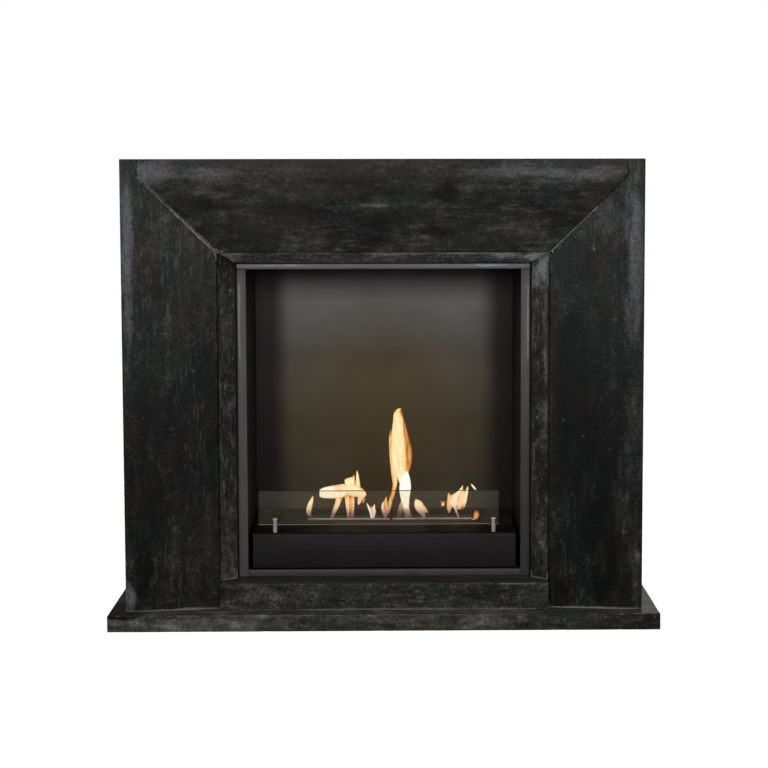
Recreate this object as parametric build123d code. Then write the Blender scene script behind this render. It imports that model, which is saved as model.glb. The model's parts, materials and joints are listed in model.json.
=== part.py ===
from build123d import *
import os

# A free-standing stone mantel with a steel bioethanol firebox set into it.
# Millimetres.  +Z is up, the front faces -Y, and the origin is on the floor under
# the middle of the hearth slab.

# ---------------------------------------------------------------- driving dimensions
# Hearth and surround
hearth_width = 1200.0
hearth_depth = 470.0
hearth_thickness = 36.0
hearth_overhang = 36.0          # slab beyond the surround at the front and at each side
total_height = 1020.0
outer_band = 37.0               # flat strip round the outside of the surround's face
lintel_face_height = 164.0      # height of the lintel's sloping face
face_slope = 23.0               # how far the sloping faces fall back
face_edge = 25.0                # thickness of the sloping slabs at their inner edge
panel_thickness = 25.0          # side and top panels
stone_joint = 0.5               # open joint between two stones
stone_arris = 1.2               # eased edges of the stones

# Sill and splayed slips round the firebox
sill_top_level = 95.0
sill_proud = 18.0               # sill in front of the inner edge of the sloping faces
sill_front_thickness = 20.0
sill_top_thickness = 18.0
sill_top_depth = 90.0
sill_block_width = 60.0
sill_block_inset = 20.0
slip_side_width = 34.5
slip_top_width = 24.0
slip_setback = 12.0             # slips behind the inner edge of the sloping faces
slip_splay = 32.0               # how far the slips fall back towards the firebox
slip_thickness = 20.0
slip_gap = 2.5                  # shadow gap between the slips and the trim frame

# Trim frame and firebox
trim_width = 646.0
trim_side_bar = 20.0
trim_top_bar = 12.0
trim_bottom_bar = 15.0
trim_depth = 8.0
trim_setback = 18.0             # trim frame behind the inner edge of the slips
sheet = 2.0                     # steel sheet of the firebox and the burner cover
firebox_side_clearance = 3.0    # firebox walls outside the trim frame's opening
firebox_rear_gap = 25.0         # firebox in front of the hearth slab's back edge
flange_top_lap = 10.0
flange_bottom_lap = 13.0
flange_cover = 18.0             # flange beyond the trim frame, behind the slips

# Burner cover
cover_side_gap = 9.5            # each side, to the trim frame's opening
cover_top_level = 191.0
cover_foot_gap = 17.0           # open strip under the front panel, above the sill
cover_setback = 1.0             # cover behind the trim frame's flange
cover_back_gap = 2.0

# Glass pane and the pins that hold it
pane_end_gap = 34.5             # pane's length short of the frame's opening, each end
pane_height = 77.0
pane_thickness = 5.0
pane_offset = -12.5             # the pane stands a little to the left
pane_lift = 17.0                # pane above the cover
pin_inset = 59.0                # pins inside the frame's opening
pin_wall = 1.85                 # steel left on each side of the slot
pin_above_slot = 14.0
pin_head_rim = 1.5
pin_head_height = 2.0
pin_edge = 6.5                  # pin axis behind the cover's front edge
pin_slot_clearance = 0.15
stud_radius = 2.5               # threaded ends of pins and knobs
pin_stud_length = 10.0
stud_clearance = 0.05
nut_height = 4.0
nut_flats = 8.0

# Hand knobs that hold the cover down
knob_radius = 13.0
knob_neck_radius = 5.0
knob_neck_height = 7.0
knob_ahead = 20.0               # in front of the burners
knob_left_inset = 46.5          # inside the cover's left edge
knob_right_inset = 75.5         # inside its right edge
post_radius = 7.0
knob_stud_length = 22.0

# Burners: two alike, side by side
burner_gap = 6.0
burner_pair_offset = 15.0       # the pair stands a little to the right
burner_back_margin = 28.0       # cover behind the decks
burner_sheet = 1.5
slot_length = 170.0
slot_width = 44.0
slot_front_strip = 9.0
deck_side_margin = 10.0         # deck beyond each end of the slot
deck_back_gap = 4.0             # behind the parked lid
guide_lip = 7.0                 # inward lips that hold the lid down
tank_depth = 60.0
tank_margin = 3.0               # tank wall outside the slot, along the slot
tank_cross_margin = 1.0         # the same, across the slot
cutout_clearance = 1.5          # cover cut-out round the tank
wool_clearance = 0.3
wool_below_rim = 8.0
lid_thickness = 2.0
lid_clearance = 0.3
lid_lap = 11.0                  # lid's depth beyond the slot's, front and back
lid_side_clearance = 0.5
pull_radius = 5.0
pull_height = 12.0
pull_edge = 8.0

# Steelwork behind the stone
angle_leg = 40.0
angle_length = 36.0
angle_sheet = 3.0
angles_per_edge = 3
side_angle_low = 114.0          # lowest angle above the hearth slab
side_angle_high = 95.0          # highest angle below the top panel
lintel_angle_span = 700.0
bracket_width = 60.0
bracket_leg = 50.0
bracket_span = 800.0
wall_hole_radius = 4.25
bearer_width = 40.0
bearer_sheet = 3.0
bearer_span = 480.0

# Heat shield over the firebox
shield_sheet = 1.5
shield_gap = 20.0
shield_inset = 6.0
shield_post_radius = 6.0
shield_post_inset = 30.0

# Screws: head and shank
screw_head_radius = 4.5
screw_head_height = 2.6
screw_shank_radius = 2.2
screw_clearance = 0.05
stone_screw_length = 14.0
trim_screw_length = 7.0
trim_screws_per_side = 5
trim_screw_inset = 35.0         # from the ends of the side bars
shield_screw_length = 10.0

# Small eases and clearances
screw_head_round = 0.4          # share of the head's height
screw_end_room = 1.0
mitre_overrun = 3.0             # cutting wedges past the stones
trim_arris = 0.6
cover_bend = 1.2
pane_arris = 0.6
pin_head_ease = 0.25            # share of the head's height
knob_sink = 1.0                 # neck into the ball
lid_arris = 0.4
pull_round = 1.5
lid_park_gap = 1.0              # parked lid behind the slot
deck_lip = 2.5
guide_clearance = 0.7           # over the lid
guide_front_gap = 6.0
bracket_screw_step = 36.0
wall_hole_drop = 32.0           # below the top panel
bearer_end_gap = 1.0


def evenly(first, last, count):
    """Evenly spaced values from first to last."""
    return [first + (last - first) * step / (count - 1) for step in range(count)]


# ---------------------------------------------------------------- planes worked out
front = -hearth_depth / 2
back = hearth_depth / 2
surround_half = hearth_width / 2 - hearth_overhang
band_half = surround_half - outer_band
band_top = total_height - outer_band
opening_top = band_top - lintel_face_height
face_front = front + hearth_overhang
face_inner = face_front + face_slope
face_back = face_inner + face_edge
panel_inner_half = surround_half - panel_thickness
shelf_underside = total_height - panel_thickness

slip_outer_top = opening_top - stone_joint
slip_inner_top = slip_outer_top - slip_top_width
slip_inner_half = trim_width / 2 + slip_gap
slip_outer_half = slip_inner_half + slip_side_width
opening_half = slip_outer_half + stone_joint
slip_front = face_inner + slip_setback
slip_inner = slip_front + slip_splay

sill_front_plane = face_inner - sill_proud
sill_top_front = sill_front_plane + sill_front_thickness
sill_back = sill_top_front + sill_top_depth
sill_half = opening_half - stone_joint
sill_top_underside = sill_top_level - sill_top_thickness

trim_half = trim_width / 2
trim_top = slip_inner_top - slip_gap
trim_opening_half = trim_half - trim_side_bar
trim_opening_top = trim_top - trim_top_bar
trim_opening_bottom = sill_top_level + trim_bottom_bar
trim_front = slip_inner + trim_setback
flange_front = trim_front + trim_depth
firebox_front = flange_front + sheet
firebox_half = trim_opening_half + firebox_side_clearance
firebox_outer_half = firebox_half + sheet
firebox_back = back - firebox_rear_gap
firebox_floor_top = sill_top_level + sheet
firebox_ceiling = trim_top - sheet

cover_half = trim_opening_half - cover_side_gap
cover_front = firebox_front + cover_setback
cover_back = firebox_back - sheet - cover_back_gap
cover_underside = cover_top_level - sheet
cover_panel_bottom = sill_top_level + cover_foot_gap
pane_length = 2 * (trim_opening_half - pane_end_gap)
pane_bottom = cover_top_level + pane_lift
pin_y = cover_front + pin_edge
pin_half_span = trim_opening_half - pin_inset
pin_radius = pane_thickness / 2 + pin_slot_clearance + pin_wall
pin_head_radius = pin_radius + pin_head_rim
pin_top = pane_bottom + pin_above_slot

lid_length = slot_width + 2 * lid_lap
burner_length = slot_length + 2 * deck_side_margin
burner_depth = slot_front_strip + slot_width + lid_park_gap + lid_length + deck_back_gap
burner_back = cover_back - burner_back_margin
burner_front = burner_back - burner_depth
burner_pitch = burner_length + burner_gap
knob_y = burner_front - knob_ahead
slot_front = burner_front + slot_front_strip
slot_back = slot_front + slot_width
deck_level = cover_top_level + burner_sheet
lid_level = deck_level + lid_clearance
lid_front = slot_back + lid_park_gap
tank_half = slot_length / 2 + tank_margin + burner_sheet
tank_front = slot_front - tank_cross_margin - burner_sheet
tank_back = slot_back + tank_cross_margin + burner_sheet
tank_floor = cover_top_level - tank_depth
burner_middles = {
    "left": burner_pair_offset - burner_pitch / 2,
    "right": burner_pair_offset + burner_pitch / 2,
}

side_angle_levels = evenly(
    hearth_thickness + side_angle_low, shelf_underside - side_angle_high, angles_per_edge
)
lintel_angle_places = evenly(-lintel_angle_span / 2, lintel_angle_span / 2, angles_per_edge)
trim_screw_levels = evenly(
    sill_top_level + trim_screw_inset, trim_opening_top - trim_screw_inset, trim_screws_per_side
)

STAND = (Align.CENTER, Align.CENTER, Align.MIN)


# ---------------------------------------------------------------- shapes used again
def block(x, y, z):
    """A box from three (low, high) pairs."""
    size = (x[1] - x[0], y[1] - y[0], z[1] - z[0])
    middle = ((x[0] + x[1]) / 2, (y[0] + y[1]) / 2, (z[0] + z[1]) / 2)
    return Pos(*middle) * Box(*size)


def rod(place, radius, z):
    """An upright cylinder at place (x, y) between two heights."""
    return Pos(place[0], place[1], z[0]) * Cylinder(radius, z[1] - z[0], align=STAND)


def upright_prism(outline, z):
    """An outline of (x, y) points, extruded between two heights."""
    face = make_face(Polyline(*[(x, y, z[0]) for x, y in outline], close=True))
    return extrude(face, z[1] - z[0], dir=(0, 0, 1))


def depth_prism(outline, y):
    """An outline of (x, z) points, extruded from front to back."""
    face = make_face(Polyline(*[(x, y[0], z) for x, z in outline], close=True))
    return extrude(face, y[1] - y[0], dir=(0, 1, 0))


def cross_prism(outline, x):
    """An outline of (y, z) points, extruded from left to right."""
    face = make_face(Polyline(*[(x[0], y, z) for y, z in outline], close=True))
    return extrude(face, x[1] - x[0], dir=(1, 0, 0))


def eased(shape, size=stone_arris, crisp=()):
    """Takes the sharpness off every edge, except along the lines that stay crisp."""
    edges = [
        edge
        for edge in shape.edges()
        if all(line.distance_to(edge.center()) > size for line in crisp)
    ]
    return chamfer(edges, size)


def mirrored(shape):
    """The same shape on the other side of the middle."""
    return mirror(shape, about=Plane.YZ)


def both_sides(shapes):
    """The shapes and their mirror images."""
    return list(shapes) + [mirrored(shape) for shape in shapes]


def screw(place, direction, length):
    """A pan-head screw: its head sits on place and its shank runs along direction."""
    head = Pos(0, 0, -screw_head_height) * Cylinder(
        screw_head_radius, screw_head_height, align=STAND
    )
    head = fillet(head.edges().group_by(Axis.Z)[0], screw_head_height * screw_head_round)
    shank = Cylinder(screw_shank_radius, length, align=STAND)
    return Plane(origin=place, z_dir=direction) * (head + shank)


def screw_hole(place, direction, length):
    """The hole for that screw, with a little room past its end."""
    tool = Cylinder(screw_shank_radius + screw_clearance, length + screw_end_room, align=STAND)
    return Plane(origin=place, z_dir=direction) * tool


def steel_angle(corner, leg, length):
    """An angle with its corner on the plane, its legs along the plane's X and Y."""
    align = (Align.MIN, Align.MIN, Align.CENTER)
    legs = Box(leg, angle_sheet, length, align=align)
    legs += Box(angle_sheet, leg, length, align=align)
    return corner * legs


# ---------------------------------------------------------------- stone surround
def mitre_level(x, outer, inner):
    """Height at x of the left mitre that runs from outer to inner, both (x, z)."""
    rise = (inner[1] - outer[1]) / (inner[0] - outer[0])
    return outer[1] + rise * (x - outer[0])


def above_mitre(outer, inner, top):
    """The wedge over the left mitre, cut from the upright stone."""
    right = inner[0] + mitre_overrun
    outline = [
        outer,
        (outer[0], top + mitre_overrun),
        (right, top + mitre_overrun),
        (right, mitre_level(right, outer, inner)),
    ]
    return depth_prism(outline, (front, back))


def below_mitre(outer, inner):
    """The wedge under the left mitre, cut from the stone that lies across."""
    left = outer[0] - mitre_overrun + stone_joint
    right = inner[0] + mitre_overrun + stone_joint
    bottom = inner[1] - 2 * mitre_overrun
    outline = [
        (left, mitre_level(left - stone_joint, outer, inner)),
        (right, mitre_level(right - stone_joint, outer, inner)),
        (right, bottom),
        (left, bottom),
    ]
    return depth_prism(outline, (front, back))


face_mitre = ((-band_half, band_top), (-opening_half, opening_top))
slip_mitre = ((-slip_outer_half, slip_outer_top), (-slip_inner_half, slip_inner_top))
leg_middle = (angle_sheet + angle_leg) / 2
bracket_middle = (angle_sheet + bracket_leg) / 2


def side_angle_screws():
    """Left angles: (place, direction) of the screws into the jamb and into the panel."""
    jamb = []
    panel = []
    for level in side_angle_levels:
        jamb.append(((leg_middle - panel_inner_half, face_back + angle_sheet, level), (0, -1, 0)))
        panel.append(((angle_sheet - panel_inner_half, face_back + leg_middle, level), (-1, 0, 0)))
    return jamb, panel


def top_angle_screws():
    """Angles behind the lintel: screws into the lintel and into the top panel."""
    lintel = []
    shelf = []
    for x in lintel_angle_places:
        lintel.append(((x, face_back + angle_sheet, shelf_underside - leg_middle), (0, -1, 0)))
        shelf.append(((x, face_back + leg_middle, shelf_underside - angle_sheet), (0, 0, 1)))
    return lintel, shelf


def bracket_screws():
    """Screws that hold the two wall brackets under the top panel."""
    places = []
    for middle in (-bracket_span / 2, bracket_span / 2):
        for step in (-bracket_screw_step / 2, bracket_screw_step / 2):
            place = (middle + step, back - bracket_middle, shelf_underside - angle_sheet)
            places.append((place, (0, 0, 1)))
    return places


def drilled(shape, screws, length=stone_screw_length):
    """The shape with the holes of its screws."""
    for place, direction in screws:
        shape -= screw_hole(place, direction, length)
    return shape


def make_hearth():
    slab = block((-hearth_width / 2, hearth_width / 2), (front, back), (0, hearth_thickness))
    return {"hearth_slab": [eased(slab)]}


def make_surround():
    """Jambs, lintel, side panels and top panel."""
    jamb_screws, panel_screws = side_angle_screws()
    lintel_screws, shelf_screws = top_angle_screws()

    profile = [
        (-surround_half, face_front),
        (-band_half, face_front),
        (-opening_half, face_inner),
        (-opening_half, face_back),
        (-surround_half, face_back),
    ]
    jamb = upright_prism(profile, (hearth_thickness, total_height))
    jamb -= above_mitre(*face_mitre, total_height)
    crisp = [
        Edge.make_line((-band_half, face_front, 0), (-band_half, face_front, total_height)),
        Edge.make_line((-band_half, face_front, band_top), (-band_half, face_back, band_top)),
    ]
    jamb = drilled(eased(jamb, crisp=crisp), jamb_screws)

    profile = [
        (face_front, total_height),
        (face_front, band_top),
        (face_inner, opening_top),
        (face_back, opening_top),
        (face_back, total_height),
    ]
    lintel_half = band_half - stone_joint
    lintel = cross_prism(profile, (-lintel_half, lintel_half))
    wedge = below_mitre(*face_mitre)
    lintel = lintel - wedge - mirrored(wedge)
    ends = (-lintel_half, lintel_half)
    crisp = [Edge.make_line(*((x, face_front, band_top) for x in ends))]
    crisp += [Edge.make_line((x, face_front, band_top), (x, face_back, band_top)) for x in ends]
    lintel = drilled(eased(lintel, crisp=crisp), lintel_screws)

    panel = block(
        (-surround_half, -panel_inner_half),
        (face_back, back),
        (hearth_thickness, shelf_underside),
    )
    panel = drilled(eased(panel), panel_screws)

    shelf = block(
        (-surround_half, surround_half), (face_back, back), (shelf_underside, total_height)
    )
    shelf = drilled(eased(shelf), shelf_screws + bracket_screws())
    return {
        "left_jamb": [jamb],
        "right_jamb": [mirrored(jamb)],
        "lintel": [lintel],
        "left_side_panel": [panel],
        "right_side_panel": [mirrored(panel)],
        "top_panel": [shelf],
    }


def make_slips():
    """Splayed stone strips between the sloping faces and the firebox."""
    profile = [
        (-slip_outer_half, slip_front),
        (-slip_inner_half, slip_inner),
        (-slip_inner_half, slip_inner + slip_thickness),
        (-slip_outer_half, slip_front + slip_thickness),
    ]
    side = upright_prism(profile, (sill_top_level, slip_outer_top))
    side = eased(side - above_mitre(*slip_mitre, slip_outer_top))

    profile = [
        (slip_front, slip_outer_top),
        (slip_inner, slip_inner_top),
        (slip_inner + slip_thickness, slip_inner_top),
        (slip_front + slip_thickness, slip_outer_top),
    ]
    top_half = slip_outer_half - stone_joint
    top = cross_prism(profile, (-top_half, top_half))
    wedge = below_mitre(*slip_mitre)
    top = eased(top - wedge - mirrored(wedge))
    return {"left_slip": [side], "right_slip": [mirrored(side)], "top_slip": [top]}


def make_sill():
    """Stone bar under the firebox, its ledge and the blocks that carry the ledge."""
    bar = block(
        (-sill_half, sill_half),
        (sill_front_plane, sill_top_front),
        (hearth_thickness, sill_top_level),
    )
    ledge = block(
        (-sill_half, sill_half),
        (sill_top_front, sill_back),
        (sill_top_underside, sill_top_level),
    )
    outer = -sill_half + sill_block_inset
    support = block(
        (outer, outer + sill_block_width),
        (sill_top_front + sill_block_inset, sill_back),
        (hearth_thickness, sill_top_underside),
    )
    return {
        "sill_front": [eased(bar)],
        "sill_ledge": [eased(ledge)],
        "sill_blocks": both_sides([support]),
    }


def make_stone_fixings():
    """Steel angles, wall brackets and their screws."""
    jamb_screws, panel_screws = side_angle_screws()
    lintel_screws, shelf_screws = top_angle_screws()
    angles = []
    for level in side_angle_levels:
        corner = Plane(origin=(-panel_inner_half, face_back, level), z_dir=(0, 0, 1))
        angles.append(steel_angle(corner, angle_leg, angle_length))
    angles = both_sides([drilled(angle, jamb_screws + panel_screws) for angle in angles])
    for x in lintel_angle_places:
        corner = Plane(origin=(x, face_back, shelf_underside), x_dir=(0, 1, 0), z_dir=(-1, 0, 0))
        angle = steel_angle(corner, angle_leg, angle_length)
        angles.append(drilled(angle, lintel_screws + shelf_screws))

    side_screws = [screw(*s, stone_screw_length) for s in jamb_screws + panel_screws]
    top_screws = [screw(*s, stone_screw_length) for s in lintel_screws + shelf_screws]

    brackets = []
    for x in (-bracket_span / 2, bracket_span / 2):
        corner = Plane(origin=(x, back, shelf_underside), x_dir=(0, -1, 0), z_dir=(1, 0, 0))
        bracket = steel_angle(corner, bracket_leg, bracket_width)
        hole = Cylinder(wall_hole_radius, bracket_leg)
        hole_place = (x, back, shelf_underside - wall_hole_drop)
        bracket -= Plane(origin=hole_place, z_dir=(0, 1, 0)) * hole
        brackets.append(drilled(bracket, bracket_screws()))
    return {
        "corner_angles": angles,
        "angle_screws": both_sides(side_screws) + top_screws,
        "wall_brackets": brackets,
        "bracket_screws": [screw(*s, stone_screw_length) for s in bracket_screws()],
    }


# ---------------------------------------------------------------- firebox
def trim_screw_places():
    """Left screws through the flange into the trim frame."""
    x = -(trim_half + firebox_outer_half) / 2
    return [((x, firebox_front, level), (0, -1, 0)) for level in trim_screw_levels]


def make_trim():
    """Satin steel frame round the firebox, in four bars."""
    depth = (trim_front, flange_front)
    side = block(
        (-trim_half, -trim_opening_half), depth, (sill_top_level, trim_opening_top)
    )
    side = drilled(eased(side, trim_arris), trim_screw_places(), trim_screw_length)
    top = block((-trim_half, trim_half), depth, (trim_opening_top, trim_top))
    bottom = block(
        (-trim_opening_half, trim_opening_half), depth, (sill_top_level, trim_opening_bottom)
    )
    left_screws = [screw(*s, trim_screw_length) for s in trim_screw_places()]
    return {
        "trim_left": [side],
        "trim_right": [mirrored(side)],
        "trim_top": [eased(top, trim_arris)],
        "trim_bottom": [eased(bottom, trim_arris)],
        "trim_screws": both_sides(left_screws),
    }


def make_firebox():
    """Sheet steel box: floor, back, two sides, top, and the flange at its mouth."""
    full_width = (-firebox_outer_half, firebox_outer_half)
    inside_width = (-firebox_half, firebox_half)
    wall_height = (firebox_floor_top, firebox_ceiling)
    back_inside = firebox_back - sheet
    floor = block(full_width, (firebox_front, firebox_back), (sill_top_level, firebox_floor_top))
    top = block(full_width, (firebox_front, firebox_back), (firebox_ceiling, trim_top))
    rear = block(full_width, (back_inside, firebox_back), wall_height)
    side = block((-firebox_outer_half, -firebox_half), (firebox_front, back_inside), wall_height)

    depth = (flange_front, firebox_front)
    flange_top = trim_top + flange_cover
    strip = block((-trim_half - flange_cover, -firebox_half), depth, (sill_top_level, flange_top))
    strip = drilled(strip, trim_screw_places(), trim_screw_length)
    top_strip = block(inside_width, depth, (trim_top - flange_top_lap, flange_top))
    low_strip = block(inside_width, depth, (sill_top_level, sill_top_level + flange_bottom_lap))
    return {
        "firebox_floor": [floor],
        "firebox_back": [rear],
        "firebox_left_wall": [side],
        "firebox_right_wall": [mirrored(side)],
        "firebox_top": [top],
        "firebox_flange": both_sides([strip]) + [top_strip, low_strip],
    }


def make_bearers():
    """Two steel channels that carry the firebox on the hearth slab."""
    outer = -bearer_span / 2 - bearer_width / 2
    inner = outer + bearer_width
    run = (sill_back + bearer_end_gap, firebox_back)
    channel = block((outer, inner), run, (hearth_thickness, sill_top_level))
    channel -= block(
        (outer + bearer_sheet, inner),
        run,
        (hearth_thickness + bearer_sheet, sill_top_level - bearer_sheet),
    )
    return {"left_bearer": [channel], "right_bearer": [mirrored(channel)]}


def shield_post_places():
    x = firebox_half - shield_post_inset
    near = firebox_front + shield_post_inset
    far = firebox_back - shield_post_inset
    return [(-x, near), (x, near), (-x, far), (x, far)]


def make_heat_shield():
    """Plate that keeps the heat of the firebox off the lintel and the top panel."""
    underside = trim_top + shield_gap
    upper = underside + shield_sheet
    half = firebox_half - shield_inset
    plate = block(
        (-half, half),
        (firebox_front + shield_inset, firebox_back - shield_inset),
        (underside, upper),
    )
    screws = [((x, y, upper), (0, 0, -1)) for x, y in shield_post_places()]
    posts = [rod(place, shield_post_radius, (trim_top, underside)) for place in shield_post_places()]
    return {
        "heat_shield": [drilled(plate, screws, shield_screw_length)],
        "shield_posts": [drilled(post, screws, shield_screw_length) for post in posts],
        "shield_screws": [screw(*s, shield_screw_length) for s in screws],
    }


# ---------------------------------------------------------------- burner cover
pin_places = ((-pin_half_span, pin_y), (pin_half_span, pin_y))
knob_places = (
    (knob_left_inset - cover_half, knob_y),
    (cover_half - knob_right_inset, knob_y),
)


def make_cover():
    """Black steel housing over the burner tanks."""
    width = (-cover_half, cover_half)
    top = block(width, (cover_front, cover_back), (cover_underside, cover_top_level))
    upper_edges = top.edges().filter_by(Axis.X).group_by(Axis.Z)[-1]
    top = fillet(upper_edges.sort_by(Axis.Y)[0], cover_bend)
    for middle in burner_middles.values():
        top -= block(
            (middle - tank_half - cutout_clearance, middle + tank_half + cutout_clearance),
            (tank_front - cutout_clearance, tank_back + cutout_clearance),
            (cover_underside, cover_top_level),
        )
    for place in pin_places + knob_places:
        top -= rod(place, stud_radius + stud_clearance, (cover_underside, cover_top_level))
    panel = block(
        width, (cover_front, cover_front + sheet), (cover_panel_bottom, cover_underside)
    )
    cheek = block(
        (-cover_half, -cover_half + sheet),
        (cover_front + sheet, cover_back),
        (firebox_floor_top, cover_underside),
    )
    return {
        "cover_top": [top],
        "cover_front": [panel],
        "cover_left_cheek": [cheek],
        "cover_right_cheek": [mirrored(cheek)],
    }


def glass_pin(place):
    """Slotted steel pin with a flanged head and a threaded lower end."""
    pin = rod(place, pin_radius, (cover_top_level, pin_top))
    head = rod(place, pin_head_radius, (pin_top - pin_head_height, pin_top))
    pin += chamfer(head.edges(), pin_head_height * pin_head_ease)
    half_slot = pane_thickness / 2 + pin_slot_clearance
    pin -= block(
        (place[0] - pin_head_radius, place[0] + pin_head_radius),
        (place[1] - half_slot, place[1] + half_slot),
        (pane_bottom, pin_top),
    )
    return pin + rod(place, stud_radius, (cover_top_level - pin_stud_length, cover_top_level))


def pin_nut(place):
    """Hexagon nut under the cover."""
    outline = RegularPolygon(nut_flats / 2, 6, major_radius=False, rotation=0)
    nut = extrude(outline, nut_height) - Cylinder(
        stud_radius + stud_clearance, nut_height, align=STAND
    )
    return Pos(place[0], place[1], cover_underside - nut_height) * nut


def hand_knob(place):
    """Ball knob on a neck, with the threaded stud that goes into its post."""
    middle = cover_top_level + knob_neck_height + knob_radius - knob_sink
    knob = Pos(place[0], place[1], middle) * Sphere(knob_radius)
    knob += rod(place, knob_neck_radius, (cover_top_level, middle))
    return knob + rod(place, stud_radius, (cover_top_level - knob_stud_length, cover_top_level))


def knob_post(place):
    """Threaded post on the firebox floor that a knob screws into."""
    post = rod(place, post_radius, (firebox_floor_top, cover_underside))
    depth = knob_stud_length - sheet + screw_end_room
    return post - rod(place, stud_radius + stud_clearance, (cover_underside - depth, cover_underside))


def make_cover_fittings():
    pane = block(
        (pane_offset - pane_length / 2, pane_offset + pane_length / 2),
        (pin_y - pane_thickness / 2, pin_y + pane_thickness / 2),
        (pane_bottom, pane_bottom + pane_height),
    )
    return {
        "glass_pins": [glass_pin(place) for place in pin_places],
        "pin_nuts": [pin_nut(place) for place in pin_places],
        "cover_knobs": [hand_knob(place) for place in knob_places],
        "cover_posts": [knob_post(place) for place in knob_places],
        "glass_pane": [eased(pane, pane_arris)],
    }


# ---------------------------------------------------------------- burners
def burner_deck(middle):
    """Stainless deck with the flame slot, a front lip and the guides of the lid."""
    half = burner_length / 2
    deck = block(
        (middle - half, middle + half), (burner_front, burner_back), (cover_top_level, deck_level)
    )
    deck -= block(
        (middle - slot_length / 2, middle + slot_length / 2),
        (slot_front, slot_back),
        (cover_top_level, deck_level),
    )
    lip_height = (deck_level, deck_level + deck_lip)
    for start in (burner_front, burner_back - burner_sheet):
        deck += block((middle - half, middle + half), (start, start + burner_sheet), lip_height)
    guide_underside = lid_level + lid_thickness + guide_clearance
    guide_top = guide_underside + burner_sheet
    for side in (-1, 1):
        outer = middle + side * half
        wall = sorted((outer, outer - side * burner_sheet))
        ledge = sorted((outer, outer - side * guide_lip))
        run = (burner_front + guide_front_gap, burner_back)
        deck += block(wall, run, (deck_level, guide_top))
        deck += block(ledge, run, (guide_underside, guide_top))
    return deck


def burner_tank(middle):
    """Open-topped stainless tank under the deck."""
    tank = block(
        (middle - tank_half, middle + tank_half),
        (tank_front, tank_back),
        (tank_floor, cover_top_level),
    )
    inside = tank_half - burner_sheet
    return tank - block(
        (middle - inside, middle + inside),
        (tank_front + burner_sheet, tank_back - burner_sheet),
        (tank_floor + burner_sheet, cover_top_level),
    )


def burner_wool(middle):
    """Ceramic fibre block that soaks up the fuel."""
    inside = tank_half - burner_sheet - wool_clearance
    return block(
        (middle - inside, middle + inside),
        (tank_front + burner_sheet + wool_clearance, tank_back - burner_sheet - wool_clearance),
        (tank_floor + burner_sheet, cover_top_level - wool_below_rim),
    )


def burner_lid(middle):
    """Sliding lid, parked behind the slot."""
    half = burner_length / 2 - burner_sheet - lid_side_clearance
    lid = block(
        (middle - half, middle + half),
        (lid_front, lid_front + lid_length),
        (lid_level, lid_level + lid_thickness),
    )
    return eased(lid, lid_arris)


def lid_pull(middle):
    """Small round pull on the lid."""
    base = lid_level + lid_thickness
    pull = rod((middle, lid_front + pull_edge), pull_radius, (base, base + pull_height))
    return fillet(pull.edges().group_by(Axis.Z)[-1], pull_round)


def make_burners():
    nodes = {}
    for side, middle in burner_middles.items():
        nodes[side + "_burner_deck"] = [burner_deck(middle)]
        nodes[side + "_burner_tank"] = [burner_tank(middle)]
        nodes[side + "_burner_wool"] = [burner_wool(middle)]
        nodes[side + "_burner_lid"] = [burner_lid(middle)]
        nodes[side + "_lid_pull"] = [lid_pull(middle)]
    return nodes


# ---------------------------------------------------------------- assembly
def write_node(name, shapes):
    """Writes one node, as one solid or as a group of separate solids."""
    solids = []
    for shape in shapes:
        solids.extend(shape.solids())
    node = solids[0] if len(solids) == 1 else Compound(children=solids)
    node.label = name
    export_step(node, os.path.join("parts", name + ".step"))


def main():
    os.makedirs("parts", exist_ok=True)
    makers = (
        make_hearth,
        make_surround,
        make_slips,
        make_sill,
        make_stone_fixings,
        make_trim,
        make_firebox,
        make_bearers,
        make_heat_shield,
        make_cover,
        make_cover_fittings,
        make_burners,
    )
    for make in makers:
        for name, shapes in make().items():
            write_node(name, shapes)


main()
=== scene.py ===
"""Bioethanol fireplace: a bolection surround of honed stone around a steel firebox with two alcohol burners.

Laid out as a Blender add-on and run as a script around the packed CAD frame.
Lengths are metres unless a name ends in _mm or a comment says otherwise.
"""

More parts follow.
